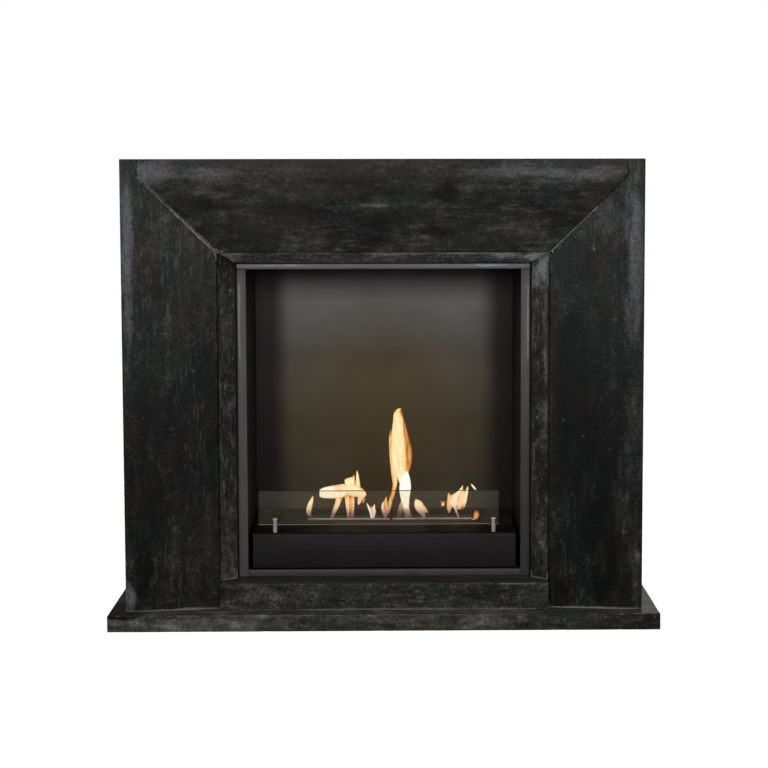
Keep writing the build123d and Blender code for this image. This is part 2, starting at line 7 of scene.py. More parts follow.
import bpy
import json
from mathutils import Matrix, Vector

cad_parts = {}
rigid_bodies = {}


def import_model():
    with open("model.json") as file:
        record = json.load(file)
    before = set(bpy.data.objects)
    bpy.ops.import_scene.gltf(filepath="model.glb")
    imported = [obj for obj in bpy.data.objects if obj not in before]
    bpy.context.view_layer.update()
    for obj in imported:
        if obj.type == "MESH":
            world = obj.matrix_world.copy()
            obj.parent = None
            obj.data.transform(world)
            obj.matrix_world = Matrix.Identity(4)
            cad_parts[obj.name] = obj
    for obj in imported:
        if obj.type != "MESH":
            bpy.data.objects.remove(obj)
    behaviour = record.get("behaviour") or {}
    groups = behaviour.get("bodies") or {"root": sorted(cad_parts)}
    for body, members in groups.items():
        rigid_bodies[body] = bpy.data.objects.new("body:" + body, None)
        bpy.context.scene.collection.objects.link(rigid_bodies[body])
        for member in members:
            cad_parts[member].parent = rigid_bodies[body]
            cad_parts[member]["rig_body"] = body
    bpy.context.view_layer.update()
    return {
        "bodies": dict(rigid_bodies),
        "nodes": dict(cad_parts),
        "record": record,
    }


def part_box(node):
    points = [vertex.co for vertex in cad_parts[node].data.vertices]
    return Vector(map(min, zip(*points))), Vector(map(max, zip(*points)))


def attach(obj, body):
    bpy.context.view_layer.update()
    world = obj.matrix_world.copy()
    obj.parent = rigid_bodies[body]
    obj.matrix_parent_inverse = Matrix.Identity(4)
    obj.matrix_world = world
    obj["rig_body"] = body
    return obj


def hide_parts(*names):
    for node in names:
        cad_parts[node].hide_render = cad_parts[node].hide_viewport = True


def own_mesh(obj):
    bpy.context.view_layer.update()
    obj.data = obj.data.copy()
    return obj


bl_info = {
    "name": "Bioethanol fireplace",
    "version": (1, 0, 0),
    "blender": (4, 5, 0),
    "location": "3D View > Sidebar > Fireplace",
    "description": "Stone, steel, glass and flames of a bioethanol fireplace, built around its CAD frame",
    "category": "Object",
}

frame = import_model()

import json
from math import cos, pi, radians, sin

import bmesh
import bpy
from bpy.props import FloatProperty, FloatVectorProperty, IntProperty, PointerProperty
from bpy.types import Operator, Panel, PropertyGroup
from mathutils import Matrix, Vector, noise

SLOTS = {part["node"]: part["material_slot"] for part in frame["record"]["subparts"]}
MM = 0.001
JOIN_DISTANCE = 0.01 * MM     # points nearer than this are one point
EASED_DEG = 38                # edges that turn by less are left as they are
WHITE = (1, 1, 1)
BLACK_PAINT, WHITE_PAINT = (0, 0, 0, 1), (1, 1, 1, 1)


# ---------------------------------------------------------------- colours and node wiring


def paint(red, green, blue):
    """A colour as read off a paint card, 0-255, as Blender's linear values."""
    def linear(value):
        value /= 255
        return value / 12.92 if value <= 0.04045 else ((value + 0.055) / 1.055) ** 2.4
    return (linear(red), linear(green), linear(blue), 1.0)


class Wiring:
    """Short calls that place and join the nodes of one tree."""

    def __init__(self, tree):
        self.tree = tree

    def feed(self, socket, value):
        if isinstance(value, bpy.types.NodeSocket):
            self.tree.links.new(value, socket)
        elif value is not None:
            socket.default_value = value

    def add(self, kind, inputs=(), **settings):
        node = self.tree.nodes.new(kind)
        for name, value in settings.items():
            setattr(node, name, value)
        for name, value in dict(inputs).items():
            self.feed(node.inputs[name], value)
        return node

    def math(self, operation, first, second=None, clamp=False):
        node = self.add("ShaderNodeMath", operation=operation, use_clamp=clamp)
        for socket, value in zip(node.inputs, (first, second)):
            self.feed(socket, value)
        return node.outputs[0]

    def plus(self, first, second, clamp=False):
        return self.math("ADD", first, second, clamp)

    def minus(self, first, second):
        return self.math("SUBTRACT", first, second)

    def times(self, first, second):
        return self.math("MULTIPLY", first, second)

    def weighed(self, *pairs):
        """The sum of values times their weights, from pairs of both."""
        total, *others = [self.times(value, weight) for value, weight in pairs]
        for part in others:
            total = self.plus(total, part)
        return total

    def vector(self, operation, first, second=None):
        node = self.add("ShaderNodeVectorMath", operation=operation)
        self.feed(node.inputs[0], first)
        self.feed(node.inputs[1], second)
        return node.outputs[0]

    def axes(self, vector):
        """The X, Y and Z sockets of a vector."""
        return self.add("ShaderNodeSeparateXYZ", {"Vector": vector}).outputs

    def normal(self):
        return self.add("ShaderNodeNewGeometry").outputs["Normal"]

    def first_channel(self, colour):
        return self.add("ShaderNodeSeparateColor", {"Color": colour}).outputs[0]

    def attribute(self, name):
        return self.add("ShaderNodeAttribute", attribute_name=name).outputs["Fac"]

    def mix(self, share, first, second, blend="MIX"):
        node = self.add("ShaderNodeMix", data_type="RGBA", blend_type=blend)
        for index, value in ((0, share), (6, first), (7, second)):
            self.feed(node.inputs[index], value)
        return node.outputs[2]

    def shaded(self, colour, shade):
        """colour times the number shade."""
        grey = self.add("ShaderNodeCombineColor", dict.fromkeys(range(3), shade)).outputs[0]
        return self.mix(1.0, colour, grey, "MULTIPLY")

    def span(self, value, low, high, to_low=0.0, to_high=1.0, smooth=True):
        """value from low..high to to_low..to_high, held at the ends."""
        kind = "SMOOTHSTEP" if smooth else "LINEAR"
        node = self.add("ShaderNodeMapRange", interpolation_type=kind, clamp=True)
        for index, item in enumerate((value, low, high, to_low, to_high)):
            self.feed(node.inputs[index], item)
        return node.outputs[0]

    def noise(self, vector, scale, detail=4.0, roughness=0.55, distortion=0.0):
        node = self.add("ShaderNodeTexNoise", {
            "Vector": vector, "Scale": scale, "Detail": detail,
            "Roughness": roughness, "Distortion": distortion,
        })
        return node.outputs["Fac"]

    def ramp(self, value, stops):
        node = self.add("ShaderNodeValToRGB", {"Fac": value})
        points = node.color_ramp.elements
        while len(points) < len(stops):
            points.new(1.0)
        for point, (place, colour) in zip(points, stops):
            point.position, point.color = place, colour
        return node.outputs["Color"]

    def place(self, offset=(0, 0, 0)):
        """Object coordinates, shifted by offset."""
        coordinates = self.add("ShaderNodeTexCoord").outputs["Object"]
        return self.add("ShaderNodeMapping", {"Vector": coordinates, "Location": offset}).outputs[0]

    def call(self, group, inputs):
        node = self.add("ShaderNodeGroup", node_tree=group)
        for name, value in inputs.items():
            self.feed(node.inputs[name], value)
        return node.outputs


def shader_group(name, inputs, outputs, wire):
    """A node group, made once. wire(wiring, inputs) returns its outputs by name."""
    if name in bpy.data.node_groups:
        return bpy.data.node_groups[name]
    tree = bpy.data.node_groups.new(name, "ShaderNodeTree")
    kinds = {"number": "NodeSocketFloat", "vector": "NodeSocketVector", "colour": "NodeSocketColor"}
    for label, (kind, default) in inputs.items():
        socket = tree.interface.new_socket(label, in_out="INPUT", socket_type=kinds[kind])
        if default is not None:
            socket.default_value = default
    for label, kind in outputs.items():
        tree.interface.new_socket(label, in_out="OUTPUT", socket_type=kinds[kind])
    wiring = Wiring(tree)
    given = wiring.add("NodeGroupInput").outputs
    end = wiring.add("NodeGroupOutput")
    for label, socket in wire(wiring, given).items():
        wiring.feed(end.inputs[label], socket)
    return tree


def cloudy_stone():
    """Mottled dark stone: clouds, brown and green patches, rubbed streaks, speckle, and a painted cool sheen where
    Tone is high.
    """
    def wire(w, given):
        vector = given["Vector"]
        drawn = w.vector("MULTIPLY", vector, given["Stretch"])
        clouds = w.noise(drawn, 1.0, 8.0, 0.62, 0.7)
        smears = w.noise(w.vector("MULTIPLY", drawn, (3.2, 3.2, 3.2)), 1.0, 4.0, 0.6, 0.3)
        patches = w.noise(vector, 30.0, 6.0, 0.62, 0.3)
        brown = w.noise(w.vector("ADD", drawn, (7.3, 1.1, 4.7)), 0.6, 5.0, 0.6)
        green = w.noise(w.vector("ADD", vector, (2.1, 9.4, 5.5)), 8.0, 6.0, 0.65)
        rubs = w.span(w.noise(w.vector("ADD", drawn, (3.1, 6.6, 2.2)), 0.45, 3.0, 0.5), 0.42, 0.62)
        rubbed = w.noise(w.vector("MULTIPLY", vector, given["Rubbing"]), 1.0, 4.0, 0.6)
        speckle = w.noise(vector, 260.0, 3.0, 0.7)
        mottle = w.noise(vector, 75.0, 4.0, 0.65)
        body = w.weighed((clouds, 0.5), (patches, 0.28), (smears, 0.22), (given["Tone"], 0.12))
        colour = w.mix(w.span(body, 0.40, 0.56), given["Deep"], given["Body"])
        colour = w.mix(w.span(body, 0.50, 0.68, 0.0, 0.75), colour, given["Bloom"])
        colour = w.mix(w.span(brown, 0.46, 0.60, 0.0, 0.65), colour, given["Brown"])
        colour = w.mix(w.span(green, 0.48, 0.62, 0.0, 0.6), colour, given["Green"])
        streak = w.times(w.times(w.span(rubbed, 0.52, 0.70), given["Streaks"]), rubs)
        colour = w.mix(streak, colour, given["Bloom"])
        grain = w.weighed((speckle, 0.5), (mottle, 0.5))
        fleck = w.times(w.span(grain, 0.52, 0.66), given["Speckle"])
        fleck = w.times(fleck, w.span(patches, 0.42, 0.58, 0.25, 1.0))
        colour = w.mix(fleck, colour, given["Bloom"])
        dark = w.times(w.span(grain, 0.48, 0.36), given["Speckle"])
        colour = w.mix(dark, colour, given["Deep"])
        grit = w.noise(vector, 150.0, 5.0, 0.75)
        shade = w.span(w.weighed((grit, 0.65), (rubbed, 0.35)), 0.36, 0.64, 0.62, 1.42)
        shade = w.plus(w.times(w.minus(shade, 1.0), given["Grit"]), 1.0)
        shade = w.times(shade, w.span(given["Tone"], -0.3, -3.1, 1.0, 0.2, smooth=False))
        colour = w.shaded(colour, shade)
        # painted sheen: a cool pale haze where Tone is high, on the faces and corners that catch the light
        pale = w.span(given["Tone"], 0.6, 4.6, 0.0, 0.75, smooth=False)
        pale = w.times(pale, w.span(grit, 0.3, 0.7, 0.5, 1.4))
        colour = w.mix(pale, colour, given["Pale"])
        height = w.weighed((grain, 0.7), (rubbed, 0.3))
        polish = w.span(w.plus(body, w.times(streak, 0.25)), 0.4, 0.75)
        return {"Color": colour, "Height": height, "Polish": polish}
    inputs = {
        "Vector": ("vector", None), "Stretch": ("vector", (4, 4, 4)), "Rubbing": ("vector", (40, 40, 2)),
        **{tone: ("colour", None) for tone in ("Deep", "Body", "Bloom", "Brown", "Green", "Pale")},
        "Streaks": ("number", 0.3), "Speckle": ("number", 0.3), "Tone": ("number", 0.0), "Grit": ("number", 1.0),
    }
    outputs = {"Color": "colour", "Height": "number", "Polish": "number"}
    return shader_group("cloudy_stone", inputs, outputs, wire)


def edge_wear():
    """Where an edge is rubbed pale or has a painted highlight: Edge is 1 on the arris and falls to 0 inside the
    face.
    """
    def wire(w, given):
        ragged = w.noise(given["Vector"], given["Scale"], 5.0, 0.65)
        missing = w.noise(given["Vector"], 9.0, 3.0, 0.5)
        reach = w.plus(given["Edge"], w.times(w.minus(ragged, 0.5), 1.1))
        mask = w.span(reach, given["From"], w.plus(given["From"], 0.28))
        broken = w.span(missing, 0.40, 0.60, 0.3, 1.0)
        return {"Mask": w.times(mask, w.times(broken, given["Amount"]))}
    inputs = {
        "Vector": ("vector", None), "Edge": ("number", 0.0), "Scale": ("number", 120.0),
        "From": ("number", 0.8), "Amount": ("number", 1.0),
    }
    return shader_group("edge_wear", inputs, {"Mask": "number"}, wire)


def scuffs():
    """Sparse pale flecks and short rubs, as where something has knocked the stone."""
    def wire(w, given):
        cells = w.add("ShaderNodeTexVoronoi", {
            "Vector": w.vector("MULTIPLY", given["Vector"], given["Stretch"]),
            "Scale": given["Scale"], "Randomness": 1.0,
        })
        chosen = w.span(w.first_channel(cells.outputs["Color"]), w.minus(1.0, given["Density"]), 1.0)
        spot = w.span(cells.outputs["Distance"], 0.22, 0.05)
        broken = w.span(w.noise(given["Vector"], 300.0, 3.0, 0.6), 0.42, 0.6)
        return {"Mask": w.times(w.times(chosen, spot), broken)}
    inputs = {
        "Vector": ("vector", None), "Stretch": ("vector", (1, 1, 1)),
        "Scale": ("number", 30.0), "Density": ("number", 0.06),
    }
    return shader_group("scuffs", inputs, {"Mask": "number"}, wire)


def stain():
    """A soft-edged patch around Centre: Amount in the middle, nothing at the distance Reach."""
    def wire(w, given):
        away = w.vector("DIVIDE", w.vector("SUBTRACT", given["Vector"], given["Centre"]), given["Reach"])
        distance = w.add("ShaderNodeVectorMath", {0: away}, operation="LENGTH").outputs["Value"]
        shape = w.span(w.plus(distance, given["Ragged"]), 1.15, 0.15)
        return {"Mask": w.times(shape, given["Amount"])}
    inputs = {
        "Vector": ("vector", None), "Centre": ("vector", None), "Reach": ("vector", (1, 1, 1)),
        "Ragged": ("number", 0.0), "Amount": ("number", 0.3),
    }
    return shader_group("stain", inputs, {"Mask": "number"}, wire)


def rolled_grain():
    """Fine lines of brushed or rolled sheet, and the broad smudges of handling."""
    def wire(w, given):
        lines = w.noise(w.vector("MULTIPLY", given["Vector"], given["Stretch"]), 1.0, 5.0, 0.7)
        smudges = w.noise(given["Vector"], 16.0, 4.0, 0.55, 0.4)
        pores = w.noise(given["Vector"], 900.0, 2.0, 0.5)
        tone = w.weighed((lines, 0.7), (smudges, 0.3))
        height = w.weighed((lines, given["Lines"]), (pores, given["Pores"]))
        return {"Tone": w.span(tone, 0.35, 0.65), "Smudges": smudges, "Height": height}
    inputs = {
        "Vector": ("vector", None), "Stretch": ("vector", (6, 400, 400)),
        "Lines": ("number", 1.0), "Pores": ("number", 0.3),
    }
    return shader_group("rolled_grain", inputs, dict.fromkeys(("Tone", "Smudges", "Height"), "number"), wire)


def dust():
    """Pale dust on faces that look up."""
    def wire(w, given):
        up = w.axes(w.normal())["Z"]
        drift = w.noise(given["Vector"], 30.0, 6.0, 0.6)
        amount = w.times(w.span(up, 0.6, 0.95), w.span(drift, 0.35, 0.7))
        return {"Mask": w.times(amount, given["Amount"])}
    inputs = {"Vector": ("vector", None), "Amount": ("number", 0.2)}
    return shader_group("dust", inputs, {"Mask": "number"}, wire)


def new_material(name):
    """(material, wiring, its Principled shader)."""
    material = bpy.data.materials.new(name)
    material.use_nodes = True
    wiring = Wiring(material.node_tree)
    return material, wiring, material.node_tree.nodes["Principled BSDF"]


def fill(shader, **values):
    """Plain values on the shader's own sockets; an underscore in a name is a blank."""
    for name, value in values.items():
        shader.inputs[name.replace("_", " ")].default_value = value


def lay_finish(w, shader, base, rough, relief=None, **values):
    """Joins base colour and roughness, fills plain sockets, and adds relief: (height, distance, strength)."""
    w.feed(shader.inputs["Base Color"], base)
    w.feed(shader.inputs["Roughness"], rough)
    fill(shader, **values)
    if relief:
        node = w.add("ShaderNodeBump", dict(zip(("Height", "Distance", "Strength"), relief)))
        w.feed(shader.inputs["Normal"], node.outputs[0])


# ---------------------------------------------------------------- meshes


def placed(name, data):
    """A new object in the scene."""
    thing = bpy.data.objects.new(name, data)
    bpy.context.scene.collection.objects.link(thing)
    return thing


def smoothed(mesh, sharp_deg=None):
    """Smooth shading, broken at edges sharper than sharp_deg."""
    mesh.shade_smooth()
    if sharp_deg:
        mesh.set_sharp_from_angle(angle=radians(sharp_deg))
    return mesh


def mesh_from(bm, name):
    """The bmesh as a mesh; the bmesh is freed."""
    mesh = bpy.data.meshes.new(name)
    bm.to_mesh(mesh)
    bm.free()
    return mesh


def skin(bm, rings):
    """Faces between neighbouring rings of points, and one over each end."""
    for first, second in zip(rings, rings[1:]):
        for i in range(len(first)):
            j = (i + 1) % len(first)
            bm.faces.new((first[i], first[j], second[j], second[i]))
    bm.faces.new(rings[0])
    bm.faces.new(list(reversed(rings[-1])))


def piece(name, mesh, material, body, slot, *nodes):
    """A finished piece: named, given its finish, riding on its body and standing for its CAD nodes."""
    thing = placed(name, mesh)
    mesh.materials.append(material)
    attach(thing, body)
    if nodes:
        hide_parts(*nodes)
    return thing


def joined(node):
    """A bmesh copy of a CAD node with its loose triangles joined at their corners."""
    bm = bmesh.new()
    bm.from_mesh(frame["nodes"][node].data)
    bmesh.ops.remove_doubles(bm, verts=bm.verts, dist=JOIN_DISTANCE)
    return bm


def merged(node):
    """A bmesh copy of a CAD node with the triangles of each flat face made one face."""
    bm = joined(node)
    bmesh.ops.dissolve_limit(bm, angle_limit=radians(0.4), verts=bm.verts, edges=bm.edges, delimit={"NORMAL"})
    return bm


def baked(thing):
    """The object's mesh with its modifiers worked in, and the modifiers taken off."""
    graph = bpy.context.evaluated_depsgraph_get()
    mesh = bpy.data.meshes.new_from_object(thing.evaluated_get(graph), depsgraph=graph)
    thing.modifiers.clear()
    return mesh


def eased_copy(node, width_mm, material, smooth_deg=32, name=None, segments=2):
    """The CAD node's shape with its sharp edges eased, as folded and linished sheet has them."""
    mesh = mesh_from(merged(node), node)
    holder = placed("holder", mesh)
    if width_mm:
        easing = holder.modifiers.new("ease", "BEVEL")
        easing.width, easing.segments, easing.limit_method = width_mm * MM, segments, "ANGLE"
        easing.angle_limit, easing.use_clamp_overlap = radians(EASED_DEG), True
        bpy.context.view_layer.update()
        mesh = baked(holder)
    bpy.data.objects.remove(holder)
    mesh.materials.clear()
    smoothed(mesh, smooth_deg)
    body = frame["nodes"][node]["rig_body"]
    return piece(name or node + "_finish", mesh, material, body, SLOTS[node], node)


# ---------------------------------------------------------------- settings


def tint(name, description, *card):
    """A colour setting; card is its default red, green and blue, 0-255."""
    return FloatVectorProperty(name=name, description=description, default=paint(*card)[:3], subtype="COLOR",
                               min=0, max=1)


def length(name, description, mm, **limits):
    return FloatProperty(name=name, description=description, default=mm * MM, unit="LENGTH", **limits)


def power(name, description, watts):
    return FloatProperty(name=name, description=description, default=watts, min=0, unit="POWER")


def fraction(name, description, default, least=0.0):
    return FloatProperty(name=name, description=description, default=default, min=least, max=1, subtype="FACTOR")


def number(name, description, default, **limits):
    kind = IntProperty if isinstance(default, int) else FloatProperty
    return kind(name=name, description=description, default=default, **limits)


class StudioSettings(PropertyGroup):
    """Camera, lights and floor."""
    camera_place: FloatVectorProperty(
        name="Camera place", description="Where the camera stands",
        default=(0.0199, -4.0725, 0.9595), subtype="TRANSLATION", unit="LENGTH")
    camera_turn: FloatVectorProperty(
        name="Camera turn", description="Pitch, roll and yaw away from looking level along +Y",
        default=(-0.08476, 0.0017, -0.01523), subtype="EULER", unit="ROTATION")
    camera_lens: number("Lens", "Focal length on a 36 mm wide sensor", 84.375, min=10, unit="CAMERA")
    camera_shift: FloatVectorProperty(
        name="Shift", description="Sideways and upward shift of the frame, as shares of its width",
        default=(-0.0469, -0.0573), size=2)
    key_power: power("Front light", "Power of the softbox beside the camera", 44.0)
    top_power: power("Top light", "Power of the softbox over the front", 20.0)
    side_power: power("Side light", "Power of each side softbox", 14.0)
    low_power: power("Low light", "Power of the wide, low strip that the satin faces mirror", 3.0)
    fill_power: power("Fill light", "Power of the softboxes that light the sides and the back", 26.0)
    rim_power: power("Rim light", "Power of the panel behind, on the right", 1.5)
    ambient: number("Room light", "Brightness of the room around the object", 0.07, min=0)
    floor_bounce: fraction("Floor bounce", "Share of the floor's light that reaches the object", 0.4)
    floor_mirrored: fraction("Floor mirrored", "Share of the floor's light that glossy faces mirror", 0.15)
    floor_colour: tint("Floor", "Colour of the studio floor", 232, 232, 231)


class StoneSettings(PropertyGroup):
    """The stone of the surround."""
    deep: tint("Deep tone", "The stone's darkest patches", 18, 18, 17)
    body: tint("Body tone", "The stone's main tone", 43, 42, 40)
    bloom: tint("Bloom", "Grey bloom of rubbed stone", 98, 96, 94)
    # painted sheen: the cool haze where the patches are palest
    pale: tint("Pale haze", "Cool haze where the stone is rubbed palest", 142, 144, 150)
    brown: tint("Brown patches", "Warm patches", 55, 44, 37)
    green: tint("Green patches", "Cool green patches", 35, 43, 37)
    # also the colour of the painted highlights along the edges
    worn: tint("Worn edge", "Colour of an arris rubbed bare", 168, 166, 160)
    worn_tan: tint("Worn edge, tan", "Tan stain on a worn arris", 152, 140, 120)
    arris_width: length("Arris width", "Widest face that counts as an eased arris", 2.2)
    wear_band: length("Wear band", "How far wear reaches into a face", 9)
    wear_step: length("Wear step", "Spacing of the points along an arris", 6, min=1 * MM)
    wear_depth: length("Wear depth", "Ordinary unevenness of an arris", 0.5)
    chip_depth: length("Chip depth", "Deepest chip out of an arris", 3.0)
    seed: number("Seed", "Changes where the chips are", 7)


class SteelSettings(PropertyGroup):
    """Sheet steel and fasteners."""
    trim: tint("Trim", "Graphite satin of the trim frame", 88, 86, 87)
    black: tint("Black coat", "Heat-proof black of firebox and cover", 46, 41, 41)
    ease: length("Edge easing", "Radius of the linished sheet edges", 0.5)
    socket_radius: length("Drive socket", "Radius over the corners of a screw's hexagon socket", 1.9)
    seed: number("Seed", "Turns the screws about their own axes", 3)


class GlassSettings(PropertyGroup):
    """The front pane."""
    edge_ease: length("Ground edge", "Width of the ground edge of the pane", 1.1)
    index: number("Refractive index", "Refractive index of the pane", 1.42, min=1)


class BurnerSettings(PropertyGroup):
    """Burner filling."""
    fibres: number("Fibres", "Loose fibres on each wick", 420, min=0)
    fibre_length: length("Fibre length", "Length of one loose fibre", 9)
    seed: number("Seed", "Scatter of the fibres", 11, min=1)


class FlameSettings(PropertyGroup):
    """The flames."""
    brightness: number("Brightness", "How brightly the flames shine", 1.0, min=0)
    depth_share: fraction("Depth", "Depth of a flame as a share of its width", 0.55, 0.1)
    glow_power: power("Glow", "Light that each flame throws on what is near", 0.045)
    shut_share: fraction("Share left when shut", "Height that is left of a flame when its lid is shut", 0.01, 0.005)


SETTINGS = {
    "fireplace_studio": StudioSettings, "fireplace_stone": StoneSettings, "fireplace_steel": SteelSettings,
    "fireplace_glass": GlassSettings, "fireplace_burners": BurnerSettings, "fireplace_flames": FlameSettings,
}


def colour(value):
    return (*value, 1.0)


# ---------------------------------------------------------------- stage


def build_camera(settings):
    data = bpy.data.cameras.new("photo_camera")
    data.sensor_width, data.lens = 36.0, settings.camera_lens
    data.shift_x, data.shift_y = settings.camera_shift
    data.clip_start, data.clip_end = 0.05, 60.0
    camera = placed("photo_camera", data)
    pitch, roll, yaw = settings.camera_turn
    turn = Matrix.Rotation(yaw, 4, "Z") @ Matrix.Rotation(pitch, 4, "X") @ Matrix.Rotation(roll, 4, "Y")
    camera.matrix_world = Matrix.Translation(settings.camera_place) @ turn @ Matrix.Rotation(pi / 2, 4, "X")
    bpy.context.scene.camera = camera


COOL, PALE_COOL, WARM = (0.93, 0.97, 1.0), (0.95, 0.98, 1.0), (1.0, 0.95, 0.86)
# name, place, aim, (width, height), setting of its power, tint, lights matt faces, is mirrored
SOFTBOXES = [
    ("front_softbox", (0.1, -4.4, 1.55), (0, 0, 0.5), (1.5, 1.0), "key_power", WHITE, True, False),
    ("low_softbox", (0.0, -4.25, 0.64), (0, 0, 0.7), (2.2, 0.34), "low_power", WHITE, False, True),
    ("top_softbox", (0.0, -1.7, 2.25), (0, -0.1, 0.75), (2.2, 0.7), "top_power", PALE_COOL, True, True),
    ("side_softbox", (-1.2, -4.0, 1.05), (-0.5, 0, 0.8), (0.35, 0.8), "side_power", COOL, False, True),
    ("side_softbox", (1.2, -4.0, 1.05), (0.5, 0, 0.8), (0.35, 0.8), "side_power", COOL, False, True),
    ("fill_softbox", (0, 3.6, 1.5), (0, 0, 0.5), (1.6, 1.6), "fill_power", WHITE, True, False),
    ("fill_softbox", (-3.4, 1.0, 1.0), (-0.5, 0, 0.5), (1.6, 1.6), "fill_power", WHITE, True, False),
    ("fill_softbox", (3.4, 1.0, 1.0), (0.5, 0, 0.5), (1.6, 1.6), "fill_power", WHITE, True, False),
    ("rim_panel", (1.0, 2.1, 0.62), (0.55, -0.2, 0.04), (0.7, 0.5), "rim_power", WARM, True, True),
]


def build_lights(settings):
    for name, place, aim, size, dial, hue, diffuse, glossy in SOFTBOXES:
        data = bpy.data.lights.new(name, "AREA")
        data.shape, data.size, data.size_y = "RECTANGLE", size[0], size[1]
        data.energy, data.color = getattr(settings, dial), hue
        lamp = placed(name, data)
        lamp.location = place
        lamp.rotation_euler = (Vector(aim) - Vector(place)).to_track_quat("-Z", "Y").to_euler()
        lamp.visible_camera = lamp.visible_transmission = False
        lamp.visible_diffuse, lamp.visible_glossy = diffuse, glossy


def build_world(settings):
    world = bpy.data.worlds.new("studio")
    world.use_nodes = True
    w = Wiring(world.node_tree)
    path = w.add("ShaderNodeLightPath").outputs
    seen = w.math("MAXIMUM", path["Is Camera Ray"], path["Is Transmission Ray"])
    strength = w.span(seen, 0.0, 1.0, settings.ambient, 1.0, smooth=False)
    sky = world.node_tree.nodes["Background"]
    w.feed(sky.inputs["Color"], WHITE_PAINT)
    w.feed(sky.inputs["Strength"], strength)
    bpy.context.scene.world = world


FLOOR_RADIUS = 2.7
FLOOR_FADE = (1.1, 2.6)     # distances from the middle where the floor starts to fade, and is gone


def build_floor(settings):
    """A round pale floor whose rim fades into the white backdrop."""
    material, w, shader = new_material("studio_floor")
    fill(shader, Roughness=0.85, Specular_IOR_Level=0.0)
    path = w.add("ShaderNodeLightPath").outputs
    bounce = [part * settings.floor_bounce for part in settings.floor_colour]
    mirrored = [part * settings.floor_mirrored for part in settings.floor_colour]
    unseen = w.mix(path["Is Glossy Ray"], colour(bounce), colour(mirrored))
    w.feed(shader.inputs["Base Color"], w.mix(path["Is Camera Ray"], unseen, colour(settings.floor_colour)))
    w.feed(shader.inputs["Emission Color"], WHITE_PAINT)
    w.feed(shader.inputs["Emission Strength"], w.times(path["Is Camera Ray"], 0.8))
    away = w.add("ShaderNodeVectorMath", {0: w.add("ShaderNodeTexCoord").outputs["Object"]}, operation="LENGTH")
    w.feed(shader.inputs["Alpha"], w.span(away.outputs["Value"], *FLOOR_FADE, 1.0, 0.0))
    bm = bmesh.new()
    bmesh.ops.create_circle(bm, cap_ends=True, segments=96, radius=FLOOR_RADIUS)
    mesh = mesh_from(bm, "studio_floor")
    mesh.materials.append(material)
    floor = placed("studio_floor", mesh)


# ---------------------------------------------------------------- stone

# name: (direction the stone was rubbed along, lift of the tone, on the slips painted light, streaks, speckle,
# offset of the pattern)
STONES = {
    "hearth_slab": ("x", 2.4, 0.2, 0.5, (3, 1, 0)),
    "left_jamb": ("z", 0.79, 0.4, 0.5, (0, 0, 0)),
    "right_jamb": ("z", 0.70, 0.35, 0.5, (5, 2, 1)),
    "lintel": ("x", 0.92, 0.4, 0.4, (1, 7, 3)),
    "left_side_panel": ("z", 0.9, 0.4, 0.3, (2, 2, 9)),
    "right_side_panel": ("z", 0.9, 0.4, 0.3, (4, 8, 9)),
    "top_panel": ("x", 0.9, 0.4, 0.3, (6, 3, 2)),
    # painted light: the slips lie in shade in their recess and are lifted paler for it, the top slip most
    "left_slip": ("z", 1.62, 0.4, 0.6, (8, 1, 1)),
    "right_slip": ("z", 2.2, 0.4, 0.6, (9, 4, 6)),
    "top_slip": ("x", 5.4, 0.4, 0.6, (7, 7, 5)),
    "sill_front": ("x", 1.6, 0.2, 0.7, (1, 4, 8)),
    "sill_ledge": ("x", 0.8, 0.2, 0.6, (2, 6, 4)),
    "sill_blocks": ("x", 1.0, 0.2, 0.5, (3, 3, 3)),
}
TINTS = {"top_slip": (1.0, 1.03, 1.16)}     # share of red, green and blue
PAINTED_SHEEN_LIFTS = {"top_slip": 2.2, "right_slip": 1.3}     # the painted sheen is that much paler
GRIT = {"left_jamb": 1.4, "right_jamb": 1.5, "sill_front": 1.4, "top_slip": 1.3}     # contrast of the fine grit
BROWN_SHARES = {   # how much of the brown is left
    "left_jamb": 0.6, "sill_front": 0.35, "hearth_slab": 0.5,
    "left_slip": 0.3, "right_slip": 0.2, "top_slip": 0.35,
}
